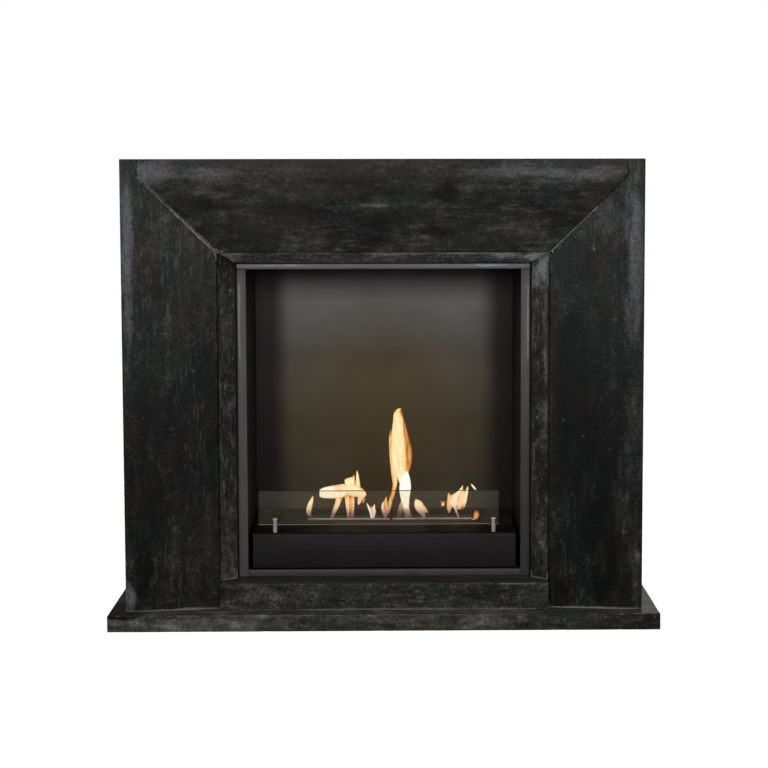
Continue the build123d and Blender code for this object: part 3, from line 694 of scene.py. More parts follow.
# Paler and darker patches of each stone, partly its own tone and partly painted sheen, highlight and shade: ((x, z)
# of the middle, (x, z) reach, amount), lengths in mm.
# An amount below 0 is darker.
PATCHES_AND_PAINTED_LIGHT = {
    "left_jamb": [
        # painted sheen: the first patch, down the upper outer band
        ((-550, 837), (19, 205), 2.8), ((-552, 621), (15, 130), 1.0), ((-553, 70), (15, 39), 3.0),
        # painted highlight: the first patch, a pale line along the foot
        ((-420, 38), (90, 5), 4.5), ((-550, 132), (13, 48), 0.7), ((-559, 282), (15, 119), -0.8),
        ((-466, 894), (11, 15), 1.5), ((-516, 718), (11, 108), -0.6), ((-465, 610), (11, 162), 0.9),
        ((-457, 431), (11, 65), 0.6), ((-416, 772), (19, 65), 0.4), ((-377, 782), (13, 35), -2.2),
        ((-406, 711), (19, 39), -0.9), ((-380, 533), (26, 162), -1.7), ((-373, 380), (17, 130), -2.0),
        ((-507, 447), (39, 97), -0.8), ((-509, 271), (52, 130), -1.9), ((-418, 260), (35, 86), -1.2),
        ((-522, 139), (26, 86), -2.0), ((-450, 136), (43, 43), 0.5), ((-403, 78), (30, 26), -1.0),
        # painted shade: the last patch darkens the middle and lower jamb
        ((-388, 216), (26, 11), 0.5), ((-450, 420), (120, 330), -0.85)],
    "right_jamb": [
        # painted sheen: the first patch, down the upper outer band
        ((546, 813), (24, 238), 2.1), ((493, 900), (90, 100), 0.9), ((446, 789), (28, 56), -0.8),
        ((458, 668), (34, 38), 0.9), ((495, 715), (22, 60), 0.8), ((525, 672), (13, 130), 0.8),
        ((393, 646), (34, 48), -2.4), ((409, 509), (48, 180), -3.6), ((444, 415), (26, 86), -3.4),
        # painted shade: the first two patches darken the middle and lower jamb
        ((440, 470), (110, 260), -1.2), ((440, 180), (120, 170), -0.9), ((384, 377), (28, 69), -1.8),
        ((485, 546), (26, 95), 0.7), ((482, 278), (35, 95), -2.0), ((450, 207), (43, 60), -2.2),
        ((482, 89), (52, 56), -3.0), ((389, 79), (26, 43), -1.6), ((499, 156), (26, 73), -2.4),
        ((397, 256), (19, 52), 0.6), ((533, 233), (13, 151), 0.6), ((554, 156), (11, 17), 2.2),
        # painted highlight: the last patch, a pale line along the foot
        ((545, 78), (15, 39), 0.6), ((548, 165), (13, 110), 0.8), ((470, 38), (90, 5), 6.0)],
    "lintel": [
        ((-420, 995), (140, 30), 0.9), ((420, 990), (130, 24), 0.6), ((-499, 993), (52, 30), 1.1),
        ((-381, 980), (73, 26), 0.9), ((-199, 994), (60, 17), 0.9), ((-17, 921), (43, 6), 1.2),
        ((295, 992), (140, 24), 0.9), ((385, 972), (86, 26), 0.7), ((471, 987), (56, 26), 0.8),
        ((41, 992), (39, 22), -1.2), ((133, 949), (35, 26), -1.7), ((-168, 900), (138, 30), -0.7),
        ((-15, 868), (39, 35), -1.6), ((122, 863), (69, 17), -1.1), ((-367, 920), (39, 22), -0.8),
        ((219, 902), (91, 35), -0.7), ((90, 854), (19, 5), 1.0), ((381, 888), (52, 30), -0.8)],
    "top_slip": [
        # painted highlight: the first patch, a pale strip along the top edge
        ((0, 821), (420, 10), 1.0), ((-335, 812), (44, 24), 2.6), ((-316, 819), (34, 6), 2.4),
        ((-190, 820), (110, 6), 1.9), ((-68, 812), (46, 14), -1.2), ((160, 820), (150, 5), 1.4),
        # painted highlight: the last patch, the bright right-hand corner
        ((255, 812), (70, 16), 1.4), ((344, 811), (36, 20), 9.0)],
    "right_slip": [
        # painted highlight: the first two patches, the bright top corner
        ((344, 783), (22, 52), 5.0), ((349, 810), (18, 20), 6.0), ((353, 603), (6, 194), 1.2),
        ((339, 316), (13, 173), -0.7)],
    "left_slip": [
        ((-350, 640), (10, 200), 0.7), ((-346, 300), (12, 160), -0.5)],
    "hearth_slab": [
        # painted shade: the third patch darkens the top of the left end, which the rim light does not reach
        ((-404, 14), (240, 30), 0.8), ((474, 2), (150, 24), -1.3), ((-584, 36), (60, 12), -5.0),
        ((445, 36), (150, 6), -1.4)],
    "sill_front": [
        # painted highlight: the last patch, a pale line along the foot
        ((-185, 66), (130, 20), 0.6), ((210, 64), (110, 20), -0.5), ((60, 38), (260, 5), 3.0)],
}
# Features per metre of the clouds, of the patches' ragged rims and of the rubbed lines, by rubbing direction
STRETCH = {"x": (5.0, 14.0, 16.0), "z": (16.0, 14.0, 5.0)}
RAGGED = {"x": (9.0, 30.0, 36.0), "z": (36.0, 30.0, 9.0)}
RUBBING = {"x": (24.0, 130.0, 150.0), "z": (150.0, 130.0, 24.0)}
PATCH_Y, PATCH_REACH_Y = -0.19, 0.1     # patches lie on the front


def stone_finish(name, settings):
    direction, lift, streaks, speckle, offset = STONES[name]
    material, w, shader = new_material("stone_" + name)
    vector = w.place(offset)
    shares = TINTS.get(name, WHITE)
    tones = {key: colour([min(1.0, part * lift * share) for part, share in zip(getattr(settings, key), shares)])
             for key in ("deep", "body", "bloom", "brown", "green")}
    kept = BROWN_SHARES.get(name, 1.0)
    tones["brown"] = [of_body + (of_brown - of_body) * kept
                      for of_body, of_brown in zip(tones["body"], tones["brown"])]
    painted_sheen_tone = colour([min(1.0, part * PAINTED_SHEEN_LIFTS.get(name, 1.0)) for part in settings.pale])
    place, tone = w.place(), 0.0
    ragged = w.noise(w.vector("MULTIPLY", place, RAGGED[direction]), 1.0, 6.0, 0.66)
    ragged = w.times(w.minus(ragged, 0.5), 1.9)
    for (x, z), (reach_x, reach_z), amount in PATCHES_AND_PAINTED_LIGHT.get(name, ()):
        mask = w.call(stain(), {
            "Vector": place, "Centre": (x * MM, PATCH_Y, z * MM), "Ragged": ragged, "Amount": amount,
            "Reach": (reach_x * MM, PATCH_REACH_Y, reach_z * MM),
        })["Mask"]
        tone = w.plus(tone, mask)
    stone = w.call(cloudy_stone(), {
        "Tone": tone, "Vector": vector, "Stretch": STRETCH[direction], "Rubbing": RUBBING[direction],
        **{key.title(): tones[key] for key in tones}, "Pale": painted_sheen_tone,
        "Streaks": streaks, "Speckle": speckle, "Grit": GRIT.get(name, 1.0),
    })
    # arris: wear, and painted highlight on the listed edges
    arris = w.attribute("arris")
    worn = w.call(edge_wear(), {
        "Vector": vector, "Edge": arris, "Scale": 130.0, "From": 0.9,
        "Amount": w.span(arris, 1.15, 1.35, 0.6, 0.95),
    })["Mask"]
    knocks = w.call(scuffs(), {"Vector": vector, "Scale": 46.0, "Density": 0.05})["Mask"]
    haze = w.call(dust(), {"Vector": vector, "Amount": 0.05})["Mask"]
    bare = w.mix(w.span(w.noise(vector, 14.0, 3.0), 0.6, 0.72), colour(settings.worn), colour(settings.worn_tan))
    base = w.mix(worn, stone["Color"], bare)
    base = w.mix(w.times(knocks, 0.4), base, colour(settings.worn))
    base = w.mix(haze, base, paint(120, 118, 112))
    rough = w.plus(w.span(stone["Polish"], 0.0, 1.0, 0.40, 0.56, smooth=False), w.times(worn, 0.25), clamp=True)
    relief = (w.minus(stone["Height"], w.times(worn, 0.4)), 0.0005, 0.5)
    lay_finish(w, shader, base, rough, relief, IOR=1.5, Specular_IOR_Level=0.25)
    return material


RING, ARRIS = 1, 2           # kinds of face: wear band inside a main face, and eased arris
PLAIN_ARRIS = 0.78           # wear value of an arris that nothing rubs
PLAIN_FOLD = 0.2             # and of a fold between two main faces
FLAT = 0.999                 # faces whose normals' product is above this lie in one plane
SHORTEST_EDGE = 10 * MM      # shorter edges are left unworn
NARROWEST_FACE = 4 * MM      # narrower faces get no wear band
BAND_SHARE = 0.28            # most of a face's width that its wear band takes
CHIP_RARITY = 0.34           # level that the noise of the chips has to pass
# Edges paler than the rest, partly rubbed barer and partly a painted highlight: (nodes, (x, z) and (x, z) of the
# line's ends in mm, reach in mm, added wear and highlight)
WORN_AND_HIGHLIT_EDGES = [
    (("left_jamb", "lintel"), (-540, 996), (-360, 819), 14, 0.40),
    (("right_jamb",), (455, 912), (360, 819), 12, 0.40),
    # painted highlight over some wear: the lines along the feet of the jambs and the sill and along the top slip's
    # top edge
    (("left_jamb", "right_jamb"), (-564, 36), (564, 36), 7, 0.55),
    (("sill_front",), (-326, 36), (326, 36), 7, 0.40),
    (("top_slip",), (-345, 819), (350, 819), 9, 0.42),
    (("left_slip", "right_slip"), (-360, 95), (360, 95), 14, 0.50),
    (("hearth_slab",), (-600, 36), (600, 36), 6, 0.16),
    (("left_jamb",), (-527, 36), (-527, 250), 12, 0.16),
    (("left_jamb",), (-564, 36), (-564, 150), 12, 0.30),
    (("sill_front",), (-326, 95), (326, 95), 9, 0.14),
    (("sill_front",), (262, 95), (326, 95), 9, 0.40),
]


def wear_and_highlight(node, point):
    """Wear and painted highlight that the listed edges add at a point of a stone."""
    added = 0.0
    for nodes, start, end, reach, amount in WORN_AND_HIGHLIT_EDGES:
        if node not in nodes:
            continue
        a, b = Vector(start) * MM, Vector(end) * MM
        p = Vector((point.x, point.z))
        share = max(0.0, min(1.0, (p - a).dot(b - a) / (b - a).length_squared))
        if (p - (a + (b - a) * share)).length < reach * MM:
            added = max(added, amount)
    return added


def worn_stone(node, settings, material):
    """The CAD stone with uneven, chipped arrises and the attribute that its wear and painted highlight read."""
    bm = merged(node)
    kind = bm.faces.layers.int.new("kind")
    edge_value = bm.loops.layers.float.new("arris")
    bm.faces.ensure_lookup_table()

    def width(face):
        return 2 * face.calc_area() / max(face.calc_perimeter(), 1e-9)

    def folded(first, second):
        return first.normal.dot(second.normal) < FLAT

    def cuts_along(run):
        return max(2, round(run / settings.wear_step))

    def far_edges(face, near):
        """The edges of a face of the wear band that don't touch the edge near."""
        if face[kind] != RING or len(face.verts) != 4:
            return []
        return [e for e in face.edges if not set(e.verts) & set(near.verts)]

    strips = [f for f in bm.faces if len(f.verts) == 4 and width(f) < settings.arris_width
              and max(e.calc_length() for e in f.edges) > SHORTEST_EDGE]
    for face in strips:
        face[kind] = ARRIS
    mains = [f for f in bm.faces if f[kind] == 0 and len(f.verts) <= 8 and width(f) > NARROWEST_FACE]
    for face in mains:
        band = min(settings.wear_band, width(face) * BAND_SHARE)
        made = bmesh.ops.inset_individual(bm, faces=[face], thickness=band, depth=0.0, use_even_offset=True)
        for ring in made["faces"]:
            ring[kind] = RING
    rows = []
    for strip in strips:
        longest = max(e.calc_length() for e in strip.edges)
        sides = [e for e in strip.edges if e.calc_length() > 0.8 * longest]
        row = sides + [e for side in sides for face in side.link_faces for e in far_edges(face, side)]
        rows.append((row, cuts_along(longest)))
    for fold in bm.edges:
        sides = fold.link_faces
        if len(sides) != 2 or any(f[kind] == ARRIS for f in sides) or fold.calc_length() < SHORTEST_EDGE:
            continue
        if folded(*sides):
            row = [fold] + [e for face in sides for e in far_edges(face, fold)]
            rows.append((row, cuts_along(fold.calc_length())))
    for row, cuts in rows:
        bmesh.ops.subdivide_edges(bm, edges=row, cuts=cuts, use_grid_fill=True)
    bm.normal_update()
    shift = Vector((settings.seed * 3.7, settings.seed * 1.3, 0.0))
    moves = []
    for v in bm.verts:
        strip_faces = [f for f in v.link_faces if f[kind] == ARRIS]
        others = [f for f in v.link_faces if f[kind] != ARRIS]
        if len(strip_faces) != 2 or not 1 <= len(others) <= 2:
            continue
        if len(others) == 2 and folded(*others):
            continue
        along = [e for e in v.link_edges
                 if len(e.link_faces) == 2 and sum(f[kind] == ARRIS for f in e.link_faces) == 1]
        if len(along) != 2:
            continue
        line = along[0].other_vert(v).co - along[1].other_vert(v).co
        inward = others[0].normal.cross(line).normalized()
        if inward.dot(strip_faces[0].calc_center_median() - v.co) > 0:
            inward.negate()
        uneven = 0.5 + 0.5 * noise.noise(v.co * 70 + shift)
        fine = 0.5 + 0.5 * noise.noise(v.co * 260 + shift)
        knock = noise.noise(v.co * 21 + shift * 2) - CHIP_RARITY
        amount = settings.wear_depth * uneven + max(0.0, knock) * 2.2 * settings.chip_depth * (0.4 + fine)
        moves.append((v, inward * min(amount, settings.chip_depth)))
    for v, move in moves:
        v.co += move
    for face in bm.faces:
        for loop in face.loops:
            at_strip = any(f[kind] == ARRIS for f in loop.vert.link_faces)
            if face[kind] == ARRIS or face[kind] == RING and at_strip:
                loop[edge_value] = PLAIN_ARRIS + wear_and_highlight(node, loop.vert.co)
            elif face[kind] == RING and any(folded(f, face) for f in loop.vert.link_faces):
                loop[edge_value] = PLAIN_FOLD + wear_and_highlight(node, loop.vert.co) * 2
    crowded = [f for f in bm.faces if len(f.verts) > 4]
    bmesh.ops.triangulate(bm, faces=crowded, ngon_method="BEAUTY")
    mesh = smoothed(mesh_from(bm, node), 20)
    return piece(node + "_worn", mesh, material, "root", "stone", node)


# ---------------------------------------------------------------- steel

ALONG_X, ALONG_Z = (4, 500, 500), (500, 500, 4)     # grain of sheet brushed along x and along z
FOOT_HEIGHTS = (0.62, 0.22)     # where a bar starts to turn to its foot's tone, and has it; that tone is painted light
SMUDGES = (0.3, 0.7)            # where the noise of the smudges reaches the least and the greatest roughness


def metal_finish(name, low, high, metallic, rough, stretch, lines=1.0, pores=0.3, depth=0.00012, coat=0.0,
                 dusty=0.03, specular=0.5, foot=None):
    """Sheet metal or its coating, its tone between low and high and its roughness from the rolled grain.

    foot is the tone that it turns to near the floor; on the left trim bar it is painted light, paler and pinker.
    """
    material, w, shader = new_material(name)
    vector = w.place()
    grain = w.call(rolled_grain(), {"Vector": vector, "Stretch": stretch, "Lines": lines, "Pores": pores})
    base = w.mix(grain["Tone"], low, high)
    if foot:
        height = w.axes(vector)["Z"]
        base = w.mix(w.span(height, *FOOT_HEIGHTS), base, foot)
    haze = w.call(dust(), {"Vector": vector, "Amount": dusty})["Mask"]
    base = w.mix(haze, base, paint(126, 122, 114))
    lay_finish(w, shader, base, w.span(grain["Smudges"], *SMUDGES, *rough), (grain["Height"], depth, 0.5),
               Metallic=metallic, Coat_Weight=coat, Specular_IOR_Level=specular)
    return material


def trim_finish(name, low, high, lines, foot=None):
    """Satin of the trim frame's bars."""
    return metal_finish(name, low, high, 0.35, (0.34, 0.46), lines, depth=0.0001, coat=0.1, foot=foot)


def zinc_finish():
    """Hot-dip zinc with its spangle."""
    material, w, shader = new_material("zinc_steel")
    vector = w.place()
    spangle = w.add("ShaderNodeTexVoronoi", {"Vector": vector, "Scale": 110.0}, feature="F1")
    tone = w.first_channel(spangle.outputs["Color"])
    cloud = w.noise(vector, 22.0, 4.0, 0.6)
    base = w.mix(w.weighed((tone, 0.6), (cloud, 0.4)), paint(118, 122, 125), paint(176, 180, 183))
    lay_finish(w, shader, base, w.span(tone, 0.0, 1.0, 0.32, 0.55), (cloud, 0.0001, 0.4), Metallic=0.9)
    return material


PAINTED_LIGHT_HALF_WIDTH, PAINTED_LIGHT_TOP = (0.272, 0.218), (0.782, 0.712)     # where the painted shade of the side and top margins is full, and where it has gone
BACK_HEIGHTS = (0.18, 0.70)                    # foot and top of the back sheet that shows
BACK_LEVELS = (0.0, 0.15, 0.44, 0.71, 1.0)     # stops between them
BACK_PAINTED_LIGHT_TONES = {   # painted tone at each stop, paler towards the top and a little paler again at the foot: painted warm flame glow in the middle, round it, and painted shade in the margins
    "glow_core": ((76, 65, 46), (65, 55, 38), (87, 77, 55), (125, 113, 86), (160, 156, 152)),
    "warm": ((83, 76, 66), (75, 69, 57), (95, 86, 67), (132, 124, 109), (172, 168, 168)),
    "shaded_margin": ((42, 36, 37), (42, 36, 37), (51, 45, 43), (72, 66, 65), (87, 81, 82)),
}


def back_wall_finish():
    """Black heat-proof coat with painted light: a painted warm flame glow in the middle, paler towards the top, and
    painted shade in the side and top margins.
    """
    material, w, shader = new_material("firebox_back_coat")
    vector = w.place()
    axes = w.axes(vector)
    drift = w.times(w.minus(w.noise(vector, 5.0, 3.0), 0.5), 0.012)
    across = w.plus(w.math("ABSOLUTE", w.plus(axes["X"], -0.003)), drift)
    # painted shade: side and top fall to 0 in the shaded margins
    side = w.span(across, *PAINTED_LIGHT_HALF_WIDTH)
    top = w.span(w.plus(axes["Z"], drift), *PAINTED_LIGHT_TOP)
    # painted light by height, paler towards the top
    level = w.span(axes["Z"], *BACK_HEIGHTS, smooth=False)
    glow_core, warm, shaded_margin = (w.ramp(level, [(stop, paint(*card)) for stop, card in zip(BACK_LEVELS, cards)])
                             for cards in BACK_PAINTED_LIGHT_TONES.values())
    # painted warm flame glow, strongest in the middle
    coat = w.mix(w.span(across, 0.03, 0.21), glow_core, warm)
    # painted shade over the side and top margins
    coat = w.mix(w.times(side, top), shaded_margin, coat)
    facing = w.axes(w.normal())["Y"]
    coat = w.mix(w.span(facing, -0.5, 0.0), coat, paint(34, 31, 29))
    grain = w.call(rolled_grain(), {"Vector": vector, "Stretch": (260, 260, 5), "Lines": 0.6, "Pores": 0.4})
    coat = w.shaded(coat, w.span(w.noise(vector, 7.0, 5.0, 0.6), 0.3, 0.7, 0.92, 1.08))
    lay_finish(w, shader, coat, w.span(grain["Smudges"], *SMUDGES, 0.62, 0.74),
               (grain["Height"], 0.00008, 0.4), Specular_IOR_Level=0.25)
    return material


def baked_finish():
    """Coat of the cover's top, baked matt, with a painted reflection of the lit back wall that makes it paler
    towards the back.
    """
    material, w, shader = new_material("black_steel_baked")
    vector = w.place()
    grain = w.call(rolled_grain(), {"Vector": vector, "Stretch": (6, 200, 200), "Lines": 0.6, "Pores": 0.6})
    # painted reflection: the coat is paler towards the back, where it mirrors the back wall
    back = w.span(w.axes(vector)["Y"], -0.07, 0.06)
    near = w.mix(grain["Tone"], paint(10, 8, 7), paint(17, 14, 13))
    far = w.mix(grain["Tone"], paint(33, 27, 22), paint(45, 38, 31))
    lay_finish(w, shader, w.mix(back, near, far), w.span(grain["Smudges"], *SMUDGES, 0.6, 0.72),
               (grain["Height"], 0.00008, 0.5), Specular_IOR_Level=0.12)
    return material


def build_steel(settings):
    trim, black = colour(settings.trim), colour(settings.black)
    shade = colour([part * 0.82 for part in settings.trim])
    dim = colour([part * 0.76 for part in settings.black])
    ease = settings.ease / MM
    across = trim_finish("trim_steel_across", shade, trim, ALONG_X)
    upright = trim_finish("trim_steel_upright", shade, trim, ALONG_Z)
    # painted light: the left bar turns paler and pinker towards its foot
    left = trim_finish("trim_steel_left", shade, trim, ALONG_Z, foot=paint(112, 105, 103))
    # painted light: the top bar is a much paler copy of the trim's satin, lit from above
    top = trim_finish("trim_steel_top", paint(124, 122, 124), paint(138, 136, 138), ALONG_X)
    coat = metal_finish("black_steel", dim, black, 0.0, (0.42, 0.58), (14, 60, 240),
                        lines=0.7, pores=0.8, depth=0.0001, specular=0.2)
    inside = metal_finish("firebox_coat", paint(26, 23, 22), paint(38, 34, 32), 0.0, (0.5, 0.66), (200, 200, 6),
                          lines=0.5, pores=0.8, depth=0.0001)
    zinc = zinc_finish()
    for share_of_ease, material, nodes in (
        (1.6, left, ["trim_left"]),
        (1.6, upright, ["trim_right"]),
        (1.6, across, ["trim_bottom"]),
        (1.6, top, ["trim_top"]),
        (1.8, coat, ["cover_front", "cover_left_cheek", "cover_right_cheek"]),
        (1.0, baked_finish(), ["cover_top"]),
        (0.6, inside, ["firebox_floor", "firebox_left_wall", "firebox_right_wall", "firebox_top",
                       "firebox_flange"]),
        (0.6, back_wall_finish(), ["firebox_back"]),
        (1.0, zinc, ["corner_angles", "wall_brackets", "heat_shield", "left_bearer", "right_bearer"]),
    ):
        for node in nodes:
            eased_copy(node, ease * share_of_ease, material)
    eased_copy("shield_posts", 0.2, zinc, smooth_deg=40)


def build_knobs(settings):
    gloss = metal_finish("black_knob", paint(5, 4, 3), paint(10, 8, 7), 0.0, (0.5, 0.62), (90, 90, 90),
                         lines=0.2, pores=0.4, depth=0.00006, dusty=0.0, specular=0.12)
    eased_copy("cover_knobs", 0.2, gloss, smooth_deg=50)
    posts = metal_finish("post_steel", paint(60, 60, 60), paint(96, 96, 95), 0.9, (0.3, 0.45), (80, 80, 900))
    eased_copy("cover_posts", 0.0, posts, smooth_deg=40)


def islands(node):
    """Each solid of a CAD node as (its faces' normals with areas, its points)."""
    bm = joined(node)
    left, found = dict.fromkeys(bm.faces), []     # a dict keeps its order, so every run gives the same
    while left:
        todo, group = [left.popitem()[0]], []
        while todo:
            face = todo.pop()
            group.append(face)
            for edge in face.edges:
                for near in edge.link_faces:
                    if near in left:
                        del left[near]
                        todo.append(near)
        points = dict.fromkeys(v for f in group for v in f.verts)
        found.append(([(f.normal.copy(), f.calc_area()) for f in group], [v.co.copy() for v in points]))
    bm.free()
    return found


def screw_places(node):
    """(centre of the head's underside, direction of the shank, shank length) of every screw in a CAD node."""
    places = []
    for faces, points in islands(node):
        pooled = []
        for normal, area in faces:
            for entry in pooled:
                if abs(entry[0].dot(normal)) > 0.9999:
                    entry[1] += area
                    break
            else:
                pooled.append([normal, area])
        axis = max(pooled, key=lambda entry: entry[1])[0].normalized()
        middle = sum(points, Vector()) / len(points)
        heights = [(p - middle).dot(axis) for p in points]
        radii = [((p - middle) - axis * h).length for p, h in zip(points, heights)]
        widest = max(radii)
        rim = [h for h, r in zip(heights, radii) if r > widest - 0.2 * MM]
        low, high = min(heights), max(heights)
        if sum(rim) / len(rim) > (low + high) / 2:
            axis, low, high = -axis, -high, -low
            rim = [-h for h in rim]
        under = max(rim)
        places.append((middle + axis * under, axis.copy(), high - under))
    return places


SCREW_STEPS = 24
# Sizes of a screw in mm: radii, then lengths along the shank, then heights over the head's underside
SHANK, THREAD_ROOT, HEAD, TIP = 2.2, 1.75, 4.5, 1.2
THREAD_PITCH, TIP_LENGTH, PLAIN_LENGTH, FIRST_THREAD = 0.9, 0.8, 1.0, 1.6
HEAD_HEIGHT, SOCKET_FLOOR = 2.6, 1.0


def screw_mesh(shank_length, settings):
    """A pan-head screw along +Z with a hexagon socket; its head lies under z = 0."""
    def ring(level, reaches):
        angles = [2 * pi * i / SCREW_STEPS for i in range(SCREW_STEPS)]
        return [bm.verts.new((reach * cos(angle), reach * sin(angle), level * MM))
                for angle, reach in zip(angles, reaches)]

    bm = bmesh.new()
    end = shank_length / MM
    outline = [(TIP, end)]
    level = end - TIP_LENGTH
    while level > FIRST_THREAD:
        outline += [(SHANK, level), (THREAD_ROOT, level - THREAD_PITCH / 2)]
        level -= THREAD_PITCH
    outline += [(SHANK, PLAIN_LENGTH), (SHANK, 0.0), (HEAD, 0.0), (HEAD, -1.5), (4.2, -2.1),
                (3.5, -HEAD_HEIGHT), (2.3, -HEAD_HEIGHT)]
    rings = [ring(level, [radius * MM] * SCREW_STEPS) for radius, level in outline]
    hexagon = [settings.socket_radius * cos(pi / 6) / cos((2 * pi * i / SCREW_STEPS) % (pi / 3) - pi / 6)
               for i in range(SCREW_STEPS)]
    rings += [ring(level, hexagon) for level in (-HEAD_HEIGHT, -SOCKET_FLOOR)]
    skin(bm, rings)
    bmesh.ops.recalc_face_normals(bm, faces=bm.faces)
    return smoothed(mesh_from(bm, "screw"), 35)


def node_tree_for(name, inputs):
    """An empty Geometry Nodes tree with a Geometry input and output and the named inputs."""
    tree = bpy.data.node_groups.new(name, "GeometryNodeTree")
    tree.interface.new_socket("Geometry", in_out="INPUT", socket_type="NodeSocketGeometry")
    ids = {label: tree.interface.new_socket(label, in_out="INPUT", socket_type=kind).identifier
           for label, kind in inputs.items()}
    tree.interface.new_socket("Geometry", in_out="OUTPUT", socket_type="NodeSocketGeometry")
    return tree, ids, Wiring(tree)


def scatter_tree(name):
    """Copies of one object on the points, each along its point's axis attribute and turned by chance."""
    tree, ids, w = node_tree_for(name, {
        "Copy": "NodeSocketObject", "Turn": "NodeSocketFloat", "Smallest": "NodeSocketFloat",
        "Largest": "NodeSocketFloat", "Seed": "NodeSocketInt", "Finish": "NodeSocketMaterial",
    })
    given = w.add("NodeGroupInput").outputs
    axis = w.add("GeometryNodeInputNamedAttribute", {"Name": "axis"}, data_type="FLOAT_VECTOR").outputs["Attribute"]
    aligned = w.add("FunctionNodeAlignRotationToVector", {"Vector": axis}, axis="Z").outputs[0]
    chance = w.add("FunctionNodeRandomValue", {"Seed": given["Seed"]}, data_type="FLOAT")
    w.feed(chance.inputs[2], 0.0)
    w.feed(chance.inputs[3], given["Turn"])
    turn = w.add("ShaderNodeCombineXYZ", {"Z": chance.outputs[1]}).outputs[0]
    turned = w.add("FunctionNodeRotateRotation", {"Rotation": aligned, "Rotate By": turn},
                   rotation_space="LOCAL").outputs[0]
    size = w.add("FunctionNodeRandomValue", {"Seed": w.plus(given["Seed"], 1.0)}, data_type="FLOAT")
    w.feed(size.inputs[2], given["Smallest"])
    w.feed(size.inputs[3], given["Largest"])
    copy = w.add("GeometryNodeObjectInfo", {"Object": given["Copy"]}).outputs["Geometry"]
    instances = w.add("GeometryNodeInstanceOnPoints", {
        "Points": given["Geometry"], "Instance": copy, "Rotation": turned, "Scale": size.outputs[1],
    }).outputs[0]
    real = w.add("GeometryNodeRealizeInstances", {"Geometry": instances}).outputs[0]
    finished = w.add("GeometryNodeSetMaterial", {"Geometry": real, "Material": given["Finish"]}).outputs[0]
    w.feed(w.add("NodeGroupOutput").inputs[0], finished)
    return tree, ids


def scattered(places, copy_mesh, material, tree, ids, sizes, seed):
    """A plain mesh of copies on places, a list of (point, axis)."""
    points = bpy.data.meshes.new("points")
    points.from_pydata([p for p, _ in places], [], [])
    axis = points.attributes.new("axis", "FLOAT_VECTOR", "POINT")
    axis.data.foreach_set("vector", [part for _, direction in places for part in direction])
    holder, copy = placed("holder", points), placed("copy", copy_mesh)
    modifier = holder.modifiers.new("scatter", "NODES")
    modifier.node_group = tree
    for label, value in {"Copy": copy, "Turn": 2 * pi, "Smallest": sizes[0], "Largest": sizes[1],
                         "Seed": seed, "Finish": material}.items():
        modifier[ids[label]] = value
    bpy.context.view_layer.update()
    mesh = baked(holder)
    bpy.data.objects.remove(holder)
    bpy.data.objects.remove(copy)
    mesh.materials.clear()
    return mesh


def build_screws(settings):
    zinc = metal_finish("screw_zinc", paint(120, 120, 118), paint(170, 170, 166), 0.95, (0.28, 0.42),
                        (60, 60, 60), lines=0.3)
    tree, ids = scatter_tree("screws_on_points")
    for node in ("angle_screws", "bracket_screws", "trim_screws", "shield_screws"):
        places = screw_places(node)
        mean_length = sum(p[2] for p in places) / len(places)
        mesh = scattered([(p, a) for p, a, _ in places], screw_mesh(mean_length, settings), zinc, tree, ids,
                         (1.0, 1.0), settings.seed)
        piece(node + "_turned", smoothed(mesh, 35), zinc, "root", SLOTS[node], node)


# ---------------------------------------------------------------- glass and its pins


def plain_finish(name, **values):
    """A finish whose whole detail is in the shape it lies on."""
    material, _, shader = new_material(name)
    fill(shader, **values)
    return material


def ground_edge_finish(index):
    material, w, shader = new_material("ground_glass_edge")
    frost = w.noise(w.vector("MULTIPLY", w.place(), (60, 900, 900)), 1.0, 3.0)
    lay_finish(w, shader, w.mix(frost, paint(118, 112, 104), paint(156, 148, 138)),
               w.span(frost, 0.3, 0.7, 0.3, 0.5), IOR=index, Specular_IOR_Level=0.6)
    return material


def build_glass(settings):
    clear = plain_finish("glass", Base_Color=(0.98, 0.91, 0.74, 1.0), Roughness=0.02, IOR=settings.index,
                         Transmission_Weight=0.9865)
    ground = ground_edge_finish(settings.index)
    pane = eased_copy("glass_pane", settings.edge_ease / MM, clear, name="glass_pane_ground", segments=1)
    pane.data.materials.append(ground)
    # painted shade: the sides and top of the ground edge are a darker copy of its pale bottom
    pane.data.materials.append(plain_finish("dull_glass_edge", Base_Color=paint(50, 48, 43), Roughness=0.5,
                                            Specular_IOR_Level=0.2))
    pane.data.shade_flat()
    for face in pane.data.polygons:
        normal = face.normal
        face.material_index = 1 if normal.z < -0.3 else 2 if abs(normal.x) > 0.3 or normal.z > 0.3 else 0
    pane.visible_shadow = False
    bright = metal_finish("stainless_pin", paint(214, 206, 196), paint(244, 238, 230), 0.25, (0.3, 0.42),
                          (60, 60, 900))
    eased_copy("glass_pins", 0.25, bright, smooth_deg=40)
    eased_copy("pin_nuts", 0.3, bright, smooth_deg=30)


# ---------------------------------------------------------------- burners


def fibre_mesh(fibre_length):
    """One curled ceramic fibre, three-sided, standing on z = 0."""
    bm, rings, spans = bmesh.new(), [], 5
    for step in range(spans + 1):
        t = step / spans
        middle = Vector((sin(t * 2.6) * 0.35, 0.12 * sin(t * 5.0), t * 0.62)) * fibre_length
        reach = 0.16 * MM * (1 - 0.6 * t)
        rings.append([bm.verts.new(middle + Vector((cos(a), sin(a), 0)) * reach) for a in (0, 2.09, 4.19)])
    skin(bm, rings)
    bmesh.ops.recalc_face_normals(bm, faces=bm.faces)
    return mesh_from(bm, "fibre")


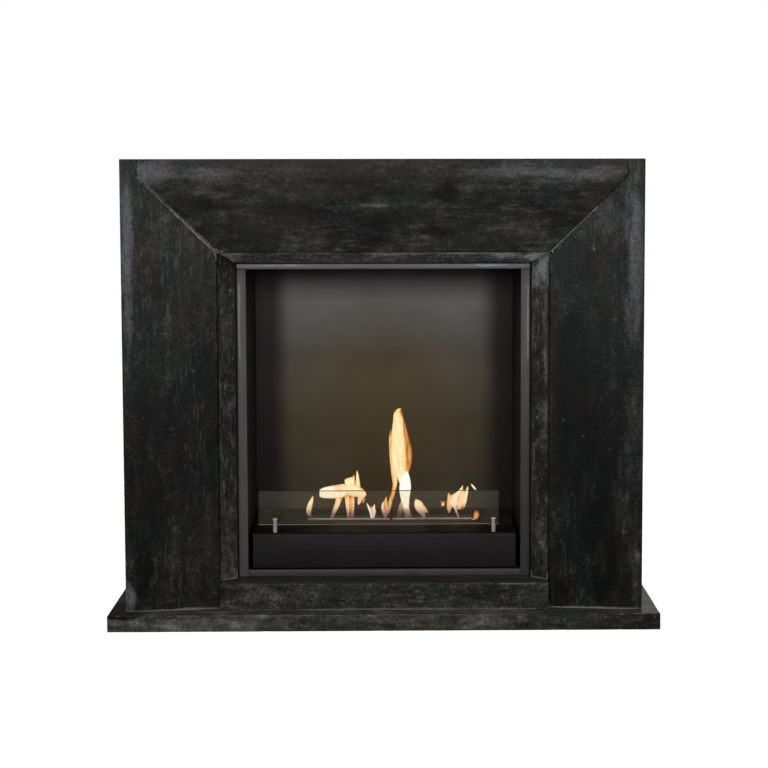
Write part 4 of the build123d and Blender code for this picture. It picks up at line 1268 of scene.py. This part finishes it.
def wool_finish():
    material, w, shader = new_material("ceramic_wool")
    vector = w.place()
    tufts = w.noise(vector, 160.0, 6.0, 0.7)
    scorch = w.span(w.noise(vector, 24.0, 4.0, 0.6), 0.5, 0.7)
    base = w.mix(tufts, paint(176, 172, 162), paint(232, 230, 222))
    base = w.mix(w.times(scorch, 0.5), base, paint(98, 88, 76))
    lay_finish(w, shader, base, 0.95, (tufts, 0.0012, 0.8), Specular_IOR_Level=0.1, Sheen_Weight=0.3)
    return material


WOOL_EDGE = 5 * MM     # the wick's surface is divided until its edges are no longer than this


def lumpy_wool(node):
    """The wick slab with an uneven, tufted surface inside its CAD block."""
    bm = merged(node)
    bmesh.ops.triangulate(bm, faces=bm.faces)
    for _ in range(4):
        long_edges = [e for e in bm.edges if e.calc_length() > WOOL_EDGE]
        if not long_edges:
            break
        bmesh.ops.subdivide_edges(bm, edges=long_edges, cuts=1)
        bmesh.ops.triangulate(bm, faces=bm.faces)
    bm.normal_update()
    moves = [(v, v.normal * -(0.9 + 0.9 * noise.noise(v.co * 160) + 0.5 * noise.noise(v.co * 60)) * MM)
             for v in bm.verts]
    for v, move in moves:
        v.co += move
    return smoothed(mesh_from(bm, node))


RIM = 4 * MM                        # strip of a wick that stays free of loose fibres
ROOT_DEPTH = 3.2 * MM               # how deep the fibres are rooted
SPREAD = (0.754877, 0.569840)       # steps that scatter any number of points evenly over a square


def fibre_places(low, high, settings):
    """(root, direction) of each loose fibre on a wick between the corners low and high."""
    noise.seed_set(settings.seed)     # without it noise_vector starts from the clock
    places = []
    for index in range(settings.fibres):
        u, v = (index * step % 1 for step in SPREAD)
        x = low.x + RIM + (high.x - low.x - 2 * RIM) * u
        y = low.y + RIM + (high.y - low.y - 2 * RIM) * v
        lean = noise.noise_vector(Vector((index * 1.7, settings.seed, 3.1)))
        places.append((Vector((x, y, high.z - ROOT_DEPTH)), (lean.x * 1.6, lean.y * 1.6, 0.35)))
    return places


def build_burners(settings):
    # painted shade over heat tint: deck and tank painted dark inside the firebox
    tint_and_shade = metal_finish("stainless_heat_tinted", paint(40, 36, 30), paint(62, 56, 48), 0.6, (0.45, 0.58),
                          (5, 600, 600), dusty=0.0, specular=0.3)
    lip = metal_finish("stainless_lip", paint(140, 133, 123), paint(176, 168, 157), 0.3, (0.34, 0.46),
                       (5, 600, 600))
    lid = metal_finish("lid_steel", paint(20, 19, 17), paint(32, 30, 27), 0.0, (0.55, 0.68), (6, 300, 300),
                       dusty=0.0, specular=0.25)
    wool = wool_finish()
    tree, ids = scatter_tree("fibres_on_points")
    for side, body in (("left", "left_burner"), ("right", "right_burner")):
        deck = eased_copy(side + "_burner_deck", 0.3, tint_and_shade)
        deck.data.materials.append(lip)
        front = min(v.co.y for v in deck.data.vertices)
        # the front faces keep the lip's plain stainless; the rest of the deck has the painted shade
        for face in deck.data.polygons:
            face.material_index = 1 if face.center.y < front + 0.2 * MM else 0
        eased_copy(side + "_burner_tank", 0.8, tint_and_shade)
        eased_copy(side + "_burner_lid", 0.4, lid)
        eased_copy(side + "_lid_pull", 0.3, lid, smooth_deg=45)
        node = side + "_burner_wool"
        mesh = lumpy_wool(node)
        fibres = scattered(fibre_places(*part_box(node), settings), fibre_mesh(settings.fibre_length), wool,
                           tree, ids, (0.25, 0.6), settings.seed)
        piece(node + "_lumps", mesh, wool, body, "ceramic_wool", node)
        piece(side + "_wick_fibres", fibres, wool, body, "ceramic_wool")


# ---------------------------------------------------------------- flames

# group: strands of flame, each (name, y, tone, right fringe, cover, [(x, z, half width), ...]).
# Lengths are in mm, the points go from the base up, and a y of two numbers goes from the first to the second.
# Tone 0 is white-hot and 1 deep orange; the fringe is added on the right; cover 1 hides what is behind.
FLAMES = {
    "left": [
        ("teardrop", 82, 0.34, 0.3, 0.95, [(-167.5, 188.5, 1.6), (-174.5, 196.5, 4.0), (-177.0, 204.0, 6.0),
         (-176.2, 212.7, 6.4), (-173.4, 223.3, 5.8), (-169.6, 233.5, 3.8), (-167.0, 242.6, 0.9)]),
        ("tongue", 80, 0.12, 0.1, 1.0, [(-151.4, 249.4, 8.2), (-144.4, 249.4, 11.6), (-134.0, 250.6, 13.6),
         (-122.0, 251.6, 14.9), (-108.5, 253.0, 15.6), (-96.9, 255.4, 15.2), (-87.5, 257.0, 14.0)]),
        ("tongue_peach", 78, 0.56, 0.0, 0.7, [(-132.0, 252.5, 5.0), (-124.0, 253.5, 9.0), (-114.0, 255.5, 11.5),
         (-103.0, 257.0, 12.5), (-94.0, 258.0, 11.0), (-88.0, 258.5, 8.0)]),
        ("shoulder", 79, 0.38, 0.25, 0.95, [(-87.6, 254.1, 12.2), (-78.3, 256.4, 16.4), (-67.8, 255.0, 15.0),
         (-57.3, 250.2, 11.6), (-47.6, 246.9, 8.0), (-42.4, 245.9, 2.3)]),
        ("block", 80, 0.3, 0.2, 1.0, [(-79.0, 246.9, 11.5), (-79.6, 260.0, 12.2), (-80.2, 272.0, 12.4),
         (-81.4, 279.0, 12.2), (-83.0, 284.6, 11.0)]),
        ("block_streak", 78, 0.66, 0.1, 0.7, [(-75.6, 246.0, 4.6), (-75.2, 262.0, 4.8), (-73.8, 276.0, 4.2),
         (-72.0, 286.0, 3.0), (-70.8, 293.0, 1.0)]),
        ("spike", 79, 0.42, 0.3, 0.95, [(-62.0, 253.7, 7.0), (-62.4, 270.2, 5.8), (-62.6, 283.1, 4.2),
         (-63.4, 293.7, 2.6), (-64.1, 302.2, 0.8)]),
        ("leg_left", 79, 0.4, 0.1, 0.95, [(-84.9, 187.5, 2.6), (-85.5, 207.0, 3.9), (-86.6, 225.8, 4.8),
         (-87.4, 247.1, 6.4)]),
        ("leg_middle", 82, 0.8, 0.1, 0.8, [(-77.9, 190.2, 2.6), (-78.3, 213.1, 4.4), (-78.8, 229.7, 4.9),
         (-79.2, 246.2, 5.6)]),
        ("leg_right", 79, 0.62, 0.3, 0.85, [(-72.6, 192.0, 1.6), (-73.4, 206.9, 2.4), (-73.3, 225.8, 3.3),
         (-73.6, 247.0, 4.6)]),
        ("diagonal", 84, 0.48, 0.1, 0.85, [(-124.9, 187.5, 3.2), (-120.6, 198.1, 4.6), (-115.2, 211.3, 5.6),
         (-110.2, 223.1, 6.4), (-106.9, 234.8, 7.8), (-104.2, 245.6, 9.0)]),
        ("diagonal_core", 82, 0.24, 0.1, 0.7, [(-117.0, 205.0, 1.8), (-112.6, 215.0, 3.0), (-108.6, 226.0, 3.6),
         (-105.6, 238.0, 4.2), (-103.2, 246.0, 3.0)]),
        ("lobe", 80, 0.5, 0.3, 0.8, [(-60.7, 222.3, 2.0), (-57.9, 232.3, 5.6), (-54.5, 242.7, 8.0),
         (-56.1, 253.0, 7.0)]),
        ("lick", 84, 0.72, 0.2, 0.5, [(-50.7, 224.7, 1.2), (-48.5, 231.4, 2.6), (-47.4, 239.3, 3.0)]),
        ("fork_left", 80, -0.1, 0.1, 0.95, [(-30.3, 187.7, 3.0), (-32.4, 203.0, 3.4), (-36.3, 213.6, 3.0),
         (-41.7, 225.6, 0.7)]),
        ("fork_right", 82, -0.06, 0.2, 0.95, [(-27.4, 188.4, 3.4), (-24.6, 203.0, 4.8), (-25.4, 212.2, 3.6),
         (-23.6, 221.9, 0.9)]),
        ("fork_middle", 83, 0.3, 0.2, 0.9, [(-28.8, 190.0, 2.6), (-29.4, 206.0, 3.4), (-30.6, 217.0, 0.8)]),
        ("curl", 80, 0.4, 0.35, 0.95, [(3.2, 187.5, 2.4), (0.8, 196.0, 4.0), (-2.4, 206.4, 4.6),
         (-4.1, 216.4, 4.0), (-3.5, 224.0, 2.6), (-1.0, 230.0, 0.8)]),
        ("curl_top", 82, 0.66, 0.1, 0.85, [(3.6, 202.0, 3.2), (4.2, 214.0, 4.2), (2.6, 226.0, 4.0),
         (3.2, 236.0, 2.2), (4.7, 241.5, 0.7)]),
    ],
    "right": [
        ("right_veil", 92, 0.84, 0.2, 0.62, [(49.5, 283.0, 2.3), (53.1, 303.0, 6.6), (55.4, 324.8, 9.1),
         (55.3, 343.6, 9.3), (52.6, 364.8, 7.9), (48.9, 386.0, 6.1), (45.7, 404.8, 4.4), (42.5, 423.6, 2.3),
         (40.2, 440.0, 0.9)]),
        ("core", 87, 0.38, 0.3, 1.0, [(43.8, 270.6, 8.5), (39.4, 290.5, 13.0), (35.7, 311.4, 15.6),
         (34.1, 330.2, 17.0), (33.4, 349.0, 17.2), (32.3, 367.8, 17.0), (32.0, 386.6, 15.6),
         (32.0, 403.0, 14.0), (32.1, 419.4, 12.2), (31.1, 431.2, 10.2), (33.2, 439.8, 7.5),
         (38.1, 446.8, 1.9)]),
        ("core_light", 84, 0.16, 0.0, 0.75, [(43.0, 276.0, 6.0), (37.0, 300.0, 7.6), (33.5, 325.0, 8.0),
         (31.0, 350.0, 7.2), (30.5, 375.0, 6.0), (31.5, 398.0, 4.4), (32.5, 415.0, 1.2)]),
        ("core_right", 85, 0.66, 0.2, 0.6, [(50.0, 290.0, 2.4), (48.0, 312.0, 4.4), (47.5, 336.0, 5.0),
         (46.0, 360.0, 4.6), (43.5, 384.0, 3.8), (41.0, 406.0, 3.0), (38.6, 428.0, 1.4)]),
        ("left_edge", 84, 0.66, -0.2, 0.85, [(24.4, 262.5, 4.4), (22.5, 278.7, 5.4), (19.5, 302.3, 5.2),
         (17.0, 325.9, 4.8), (15.2, 349.4, 4.4), (14.2, 370.5, 3.8), (13.9, 384.6, 2.6), (14.8, 398.0, 0.7)]),
        ("left_light", 82, 0.3, 0.0, 0.6, [(27.4, 270.0, 2.4), (24.0, 295.0, 3.0), (21.0, 322.0, 2.8),
         (19.4, 348.0, 2.2), (19.0, 372.0, 0.8)]),
        ("bulb", 82, -0.22, 0.12, 1.0, [(50.6, 212.0, 4.0), (49.6, 222.0, 7.6), (47.8, 236.2, 10.4),
         (47.6, 254.2, 13.3), (48.3, 268.4, 13.3), (49.3, 281.3, 10.5), (50.7, 291.9, 6.5),
         (51.9, 300.1, 1.6)]),
        ("bulb_foot", 84, 0.3, 0.2, 0.7, [(52.4, 187.5, 4.2), (52.0, 198.0, 5.6), (50.6, 210.0, 7.4),
         (48.4, 226.0, 8.8), (47.4, 240.0, 8.0)]),
        ("foot_left", 86, 0.52, 0.1, 0.3, [(30.0, 188.0, 3.4), (34.4, 199.0, 6.4), (38.6, 212.0, 7.2),
         (42.0, 226.0, 5.6), (44.0, 238.0, 3.0)]),
        ("foot_right", 83, 0.55, 0.1, 0.5, [(63.0, 188.0, 1.4), (59.0, 198.0, 2.6), (55.6, 210.0, 3.4),
         (52.6, 222.0, 3.6)]),
        ("leaf", 82, 0.3, 0.3, 1.0, [(93.0, 187.5, 1.9), (90.6, 194.8, 4.6), (87.2, 204.5, 8.8),
         (82.5, 213.9, 11.4), (77.9, 223.4, 10.0), (74.4, 230.0, 5.4), (72.4, 233.6, 1.2)]),
        ("leaf_tip", 80, 0.45, 0.2, 0.9, [(83.7, 219.0, 5.2), (93.0, 210.7, 5.4), (101.5, 201.2, 0.9)]),
        ("dot", 84, 0.62, 0.1, 0.95, [(132.9, 217.3, 1.2), (135.9, 221.5, 4.6), (134.5, 226.7, 1.2)]),
        ("dot_tail", 85, 0.8, 0.1, 0.7, [(129.6, 227.5, 1.0), (135.5, 225.5, 2.4), (141.0, 227.9, 0.8)]),
        ("cluster_left", 85, 0.58, 0.1, 0.9, [(150.3, 200.5, 1.6), (150.8, 209.9, 5.2), (151.3, 222.7, 6.8),
         (151.2, 234.2, 5.6), (150.0, 242.7, 3.2), (148.6, 249.0, 0.7)]),
        ("cluster_top", 86, 0.62, 0.1, 0.8, [(152.0, 236.0, 4.2), (158.0, 239.0, 5.4), (165.0, 241.0, 5.0),
         (170.0, 244.0, 2.0)]),
        ("cluster_middle", 84, 0.3, 0.1, 1.0, [(162.9, 212.6, 3.0), (162.0, 221.5, 8.2), (162.7, 231.9, 8.8),
         (166.7, 240.4, 7.3), (172.3, 247.4, 5.2), (177.4, 253.6, 3.6), (181.2, 261.1, 2.0),
         (182.6, 265.9, 0.7)]),
        ("cluster_right", 82, 0.44, 0.25, 0.95, [(173.4, 210.0, 3.4), (175.6, 220.4, 7.6), (179.2, 231.8, 8.6),
         (182.0, 242.2, 6.6), (183.4, 250.3, 4.2), (184.4, 256.4, 1.4)]),
        ("cluster_stem", 81, 0.16, 0.1, 0.9, [(175.4, 187.4, 1.8), (170.4, 196.2, 2.6), (166.8, 206.2, 2.9),
         (165.0, 215.9, 3.6)]),
        ("second_tip", 80, 0.24, 0.3, 0.95, [(184.5, 216.5, 3.0), (186.8, 229.1, 4.6), (189.3, 243.7, 4.6),
         (192.3, 255.1, 3.0), (194.4, 264.1, 0.8)]),
        ("cluster_shade", 79, 0.86, 0.1, 0.5, [(180.0, 210.0, 1.6), (184.0, 217.0, 3.6), (187.0, 225.0, 2.0)]),
        ("streak", 82, 0.4, 0.1, 0.95, [(213.3, 254.9, 0.9), (207.7, 261.8, 2.5), (201.9, 268.9, 1.2)]),
        ("low_tail", 85, 0.9, 0.1, 0.5, [(188.0, 187.6, 2.4), (194.0, 189.5, 3.0), (199.5, 193.0, 2.4)]),
    ],
    "left_join": [
        ("join", 88, 0.72, 0.1, 0.85, [(2.5, 188.0, 1.8), (6.0, 198.0, 3.6), (9.2, 211.0, 5.2),
         (12.6, 225.0, 5.0), (17.2, 239.2, 4.7), (21.0, 252.1, 4.9), (23.4, 266.3, 5.2), (24.4, 282.8, 5.2),
         (25.0, 300.0, 4.0)]),
    ],
    # painted reflection: a small glowing flame in front of the right knob stands for the flames' reflection in it
    "right_low": [
        ("low", (72, 12), 0.82, 0.1, 0.95, [(198.0, 188.0, 1.2), (202.0, 191.0, 1.6), (206.0, 196.0, 2.4),
         (209.0, 202.0, 5.0), (210.6, 208.6, 6.4), (211.0, 214.6, 5.4), (210.8, 219.0, 1.4)]),
    ],
}
SLOT_LEVEL = 0.186     # height at which the flames leave the burners
# group: (body, joint of the lid that puts it out, direction it shrinks along, point it shrinks to)
SHRINKS = {
    "left": ("left_burner", "left_lid_slide", (0, 0, 1), (0, 0, SLOT_LEVEL)),
    "right": ("right_burner", "right_lid_slide", (0, 0, 1), (0, 0, SLOT_LEVEL)),
    "left_join": ("left_burner", "left_lid_slide", (23, 0, 112), (0.002, 0.088, SLOT_LEVEL)),
    # the painted reflection in the right knob goes with the right lid
    "right_low": ("right_burner", "right_lid_slide", (12, -60, 31), (0.198, 0.072, 0.184)),
}
# Light that the flames throw: (body, place in mm)
GLOWS = [("left_burner", (-80, 70, 262)), ("right_burner", (36, 70, 335)), ("right_burner", (170, 70, 235))]
COOL_HEIGHTS = (0.262, 0.250)     # a flame turns a little bluer between these, from above to below
ROOT_HEIGHTS = (0.228, 0.191)     # and thin and mauve between these


def flame_finish(settings):
    """Self-lit: colour from the tone attribute, cooler and fainter just over the slot."""
    material, w, shader = new_material("flame")
    vector = w.place()
    tone = w.attribute("tone")
    veil = w.attribute("veil")
    axes = w.axes(vector)
    drawn = w.noise(w.vector("MULTIPLY", vector, (200, 200, 26)), 1.0, 4.0, 0.55, 0.5)
    hot = w.plus(tone, w.times(w.minus(drawn, 0.5), 0.95))
    shade = w.ramp(hot, [
        (0.0, paint(255, 253, 247)), (0.2, paint(255, 248, 207)), (0.42, paint(255, 235, 182)),
        (0.6, paint(254, 214, 148)), (0.78, paint(234, 166, 86)), (1.0, paint(172, 99, 32)),
    ])
    low = w.times(w.span(axes["Z"], *COOL_HEIGHTS), w.span(hot, 0.05, 0.35))
    shade = w.mix(low, shade, (1.0, 0.97, 1.25, 1.0), "MULTIPLY")
    root = w.times(w.span(axes["Z"], *ROOT_HEIGHTS), w.span(axes["Y"], 0.03, 0.06))
    root = w.times(root, w.span(tone, -0.12, 0.1, 0.35, 1.0))
    shade = w.mix(w.times(root, 0.75), shade, paint(176, 122, 128))
    w.feed(shader.inputs["Emission Color"], shade)
    w.feed(shader.inputs["Alpha"], w.times(veil, w.span(root, 0.0, 1.0, 1.0, 0.22)))
    fill(shader, Base_Color=BLACK_PAINT, Roughness=1.0, Specular_IOR_Level=0.0,
         Emission_Strength=settings.brightness)
    return material


def along(points, per_span=5):
    """Points of a smooth line through the given ones, per_span of them from one to the next."""
    points = [Vector(p) for p in points]
    ends = [points[0] * 2 - points[1], *points, points[-1] * 2 - points[-2]]
    found = []
    for a, b, c, d in zip(ends, ends[1:], ends[2:], ends[3:]):
        for step in range(per_span):
            t = step / per_span
            found.append(0.5 * ((2 * b) + (c - a) * t + (2 * a - 5 * b + 4 * c - d) * t * t
                                + (3 * b - a - 3 * c + d) * t ** 3))
    return found + [points[-1]]


FLAME_STEPS = 20             # points round a flame
THINNEST = 0.25              # least half width in mm
RIM_START, RIM_TONE = 0.62, 0.40     # share of the half width where the rim starts, and its added tone
TIP_START, TIP_TONE = 0.72, 0.42     # share of the height where the tip starts, and its added tone


def past(value, start):
    """0 up to start, then rising to 1 at value 1."""
    return max(0.0, (value - start) / (1 - start))


def add_strand(bm, layers, strand, depth_share):
    """One flame: flattened rings along a smooth line, closed at both ends."""
    _, depth_mm, tone, fringe, cover, points = strand
    root_mm, tip_mm = depth_mm if isinstance(depth_mm, tuple) else (depth_mm, depth_mm)
    tone_layer, veil_layer = layers
    line, rings = along(points), []
    last = len(line) - 1
    for index, (x, z, half) in enumerate(line):
        before, after = line[max(index - 1, 0)], line[min(index + 1, last)]
        heading = Vector((after.x - before.x, 0, after.y - before.y)).normalized()
        across = Vector((heading.z, 0, -heading.x))
        if across.x < 0 and abs(heading.z) > abs(heading.x):
            across.negate()
        half = max(half, THINNEST)
        tip = past(index / last, TIP_START)
        middle = Vector((x, root_mm + (tip_mm - root_mm) * min(1.0, 2 * index / last), z))
        ring = []
        for step in range(FLAME_STEPS):
            angle = 2 * pi * step / FLAME_STEPS
            side = cos(angle)
            deep = Vector((0, half * depth_share * sin(angle), 0))
            v = bm.verts.new((middle + across * (half * side) + deep) * MM)
            rim = past(abs(side), RIM_START)
            right = past(side if across.x >= 0 else -side, 0.3)
            v[tone_layer] = tone + fringe * right ** 1.5 + RIM_TONE * rim ** 2 + TIP_TONE * tip ** 2
            v[veil_layer] = cover * (1.0 - 0.6 * rim ** 2)
            ring.append(v)
        rings.append(ring)
    skin(bm, rings)


def build_flames(settings):
    material = flame_finish(settings)
    for group, strands in FLAMES.items():
        body, lid, axis, anchor = SHRINKS[group]
        bm = bmesh.new()
        layers = (bm.verts.layers.float.new("tone"), bm.verts.layers.float.new("veil"))
        for strand in strands:
            add_strand(bm, layers, strand, settings.depth_share)
        bmesh.ops.recalc_face_normals(bm, faces=bm.faces)
        flames = piece(group + "_flames", smoothed(mesh_from(bm, group)), material, body, "ceramic_wool")
        flames.visible_shadow = False
        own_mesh(flames)
    for index, (body, place) in enumerate(GLOWS):
        data = bpy.data.lights.new(f"flame_glow_{index + 1}", "POINT")
        data.energy, data.color, data.shadow_soft_size = settings.glow_power, (1.0, 0.62, 0.28), 0.03
        lamp = placed(data.name, data)
        lamp.location = [part * MM for part in place]
        lamp.visible_camera = lamp.visible_glossy = lamp.visible_transmission = False
        lamp.parent = frame["bodies"][body]


# ---------------------------------------------------------------- operators


class FIREPLACE_OT_stage(Operator):
    """Make the camera, the studio lights, the backdrop and the floor"""
    bl_idname = "fireplace.stage"
    bl_label = "Stage"

    def execute(self, context):
        settings = context.scene.fireplace_studio
        context.scene.view_settings.view_transform = "Standard"
        build_camera(settings)
        build_lights(settings)
        build_world(settings)
        build_floor(settings)
        return {"FINISHED"}


class FIREPLACE_OT_stones(Operator):
    """Cut the worn stones of the surround, sill and hearth"""
    bl_idname = "fireplace.stones"
    bl_label = "Stones"

    def execute(self, context):
        settings = context.scene.fireplace_stone
        for name in STONES:
            material = stone_finish(name, settings)
            worn_stone(name, settings, material)
        return {"FINISHED"}


class FIREPLACE_OT_steel(Operator):
    """Finish the trim frame, firebox, cover, angles, brackets and heat shield"""
    bl_idname = "fireplace.steel"
    bl_label = "Steel"

    def execute(self, context):
        build_steel(context.scene.fireplace_steel)
        return {"FINISHED"}


class FIREPLACE_OT_knobs(Operator):
    """Turn the cover's hand knobs and their posts"""
    bl_idname = "fireplace.knobs"
    bl_label = "Knobs"

    def execute(self, context):
        build_knobs(context.scene.fireplace_steel)
        return {"FINISHED"}


class FIREPLACE_OT_screws(Operator):
    """Set the socket screws with Geometry Nodes"""
    bl_idname = "fireplace.screws"
    bl_label = "Screws"

    def execute(self, context):
        build_screws(context.scene.fireplace_steel)
        return {"FINISHED"}


class FIREPLACE_OT_glass(Operator):
    """Grind the glass pane and turn its pins and nuts"""
    bl_idname = "fireplace.glass"
    bl_label = "Glass and pins"

    def execute(self, context):
        build_glass(context.scene.fireplace_glass)
        return {"FINISHED"}


class FIREPLACE_OT_burners(Operator):
    """Finish both burners and fill them with ceramic wool"""
    bl_idname = "fireplace.burners"
    bl_label = "Burners"

    def execute(self, context):
        build_burners(context.scene.fireplace_burners)
        return {"FINISHED"}


class FIREPLACE_OT_flames(Operator):
    """Light the flames over both burners"""
    bl_idname = "fireplace.flames"
    bl_label = "Flames"

    def execute(self, context):
        build_flames(context.scene.fireplace_flames)
        return {"FINISHED"}


OPERATORS = [
    FIREPLACE_OT_stage, FIREPLACE_OT_stones, FIREPLACE_OT_steel, FIREPLACE_OT_knobs, FIREPLACE_OT_screws,
    FIREPLACE_OT_glass, FIREPLACE_OT_burners, FIREPLACE_OT_flames,
]


class FIREPLACE_PT_sidebar(Panel):
    """The fireplace's settings and steps, in the order in which they are made"""
    bl_idname = "FIREPLACE_PT_sidebar"
    bl_label = "Bioethanol fireplace"
    bl_space_type = "VIEW_3D"
    bl_region_type = "UI"
    bl_category = "Fireplace"

    def draw(self, context):
        for operator in OPERATORS:
            self.layout.operator(operator.bl_idname)
        for name, group in SETTINGS.items():
            box = self.layout.box()
            box.label(text=group.__doc__)
            for key in group.__annotations__:
                box.prop(getattr(context.scene, name), key)


CLASSES = [*SETTINGS.values(), *OPERATORS, FIREPLACE_PT_sidebar]


def register():
    for item in CLASSES:
        bpy.utils.register_class(item)
    for name, group in SETTINGS.items():
        setattr(bpy.types.Scene, name, PointerProperty(type=group))


def unregister():
    for name in SETTINGS:
        delattr(bpy.types.Scene, name)
    for item in reversed(CLASSES):
        bpy.utils.unregister_class(item)


def main():
    register()
    for operator in OPERATORS:
        section, name = operator.bl_idname.split(".")
        getattr(getattr(bpy.ops, section), name)()


if __name__ == "__main__":
    main()
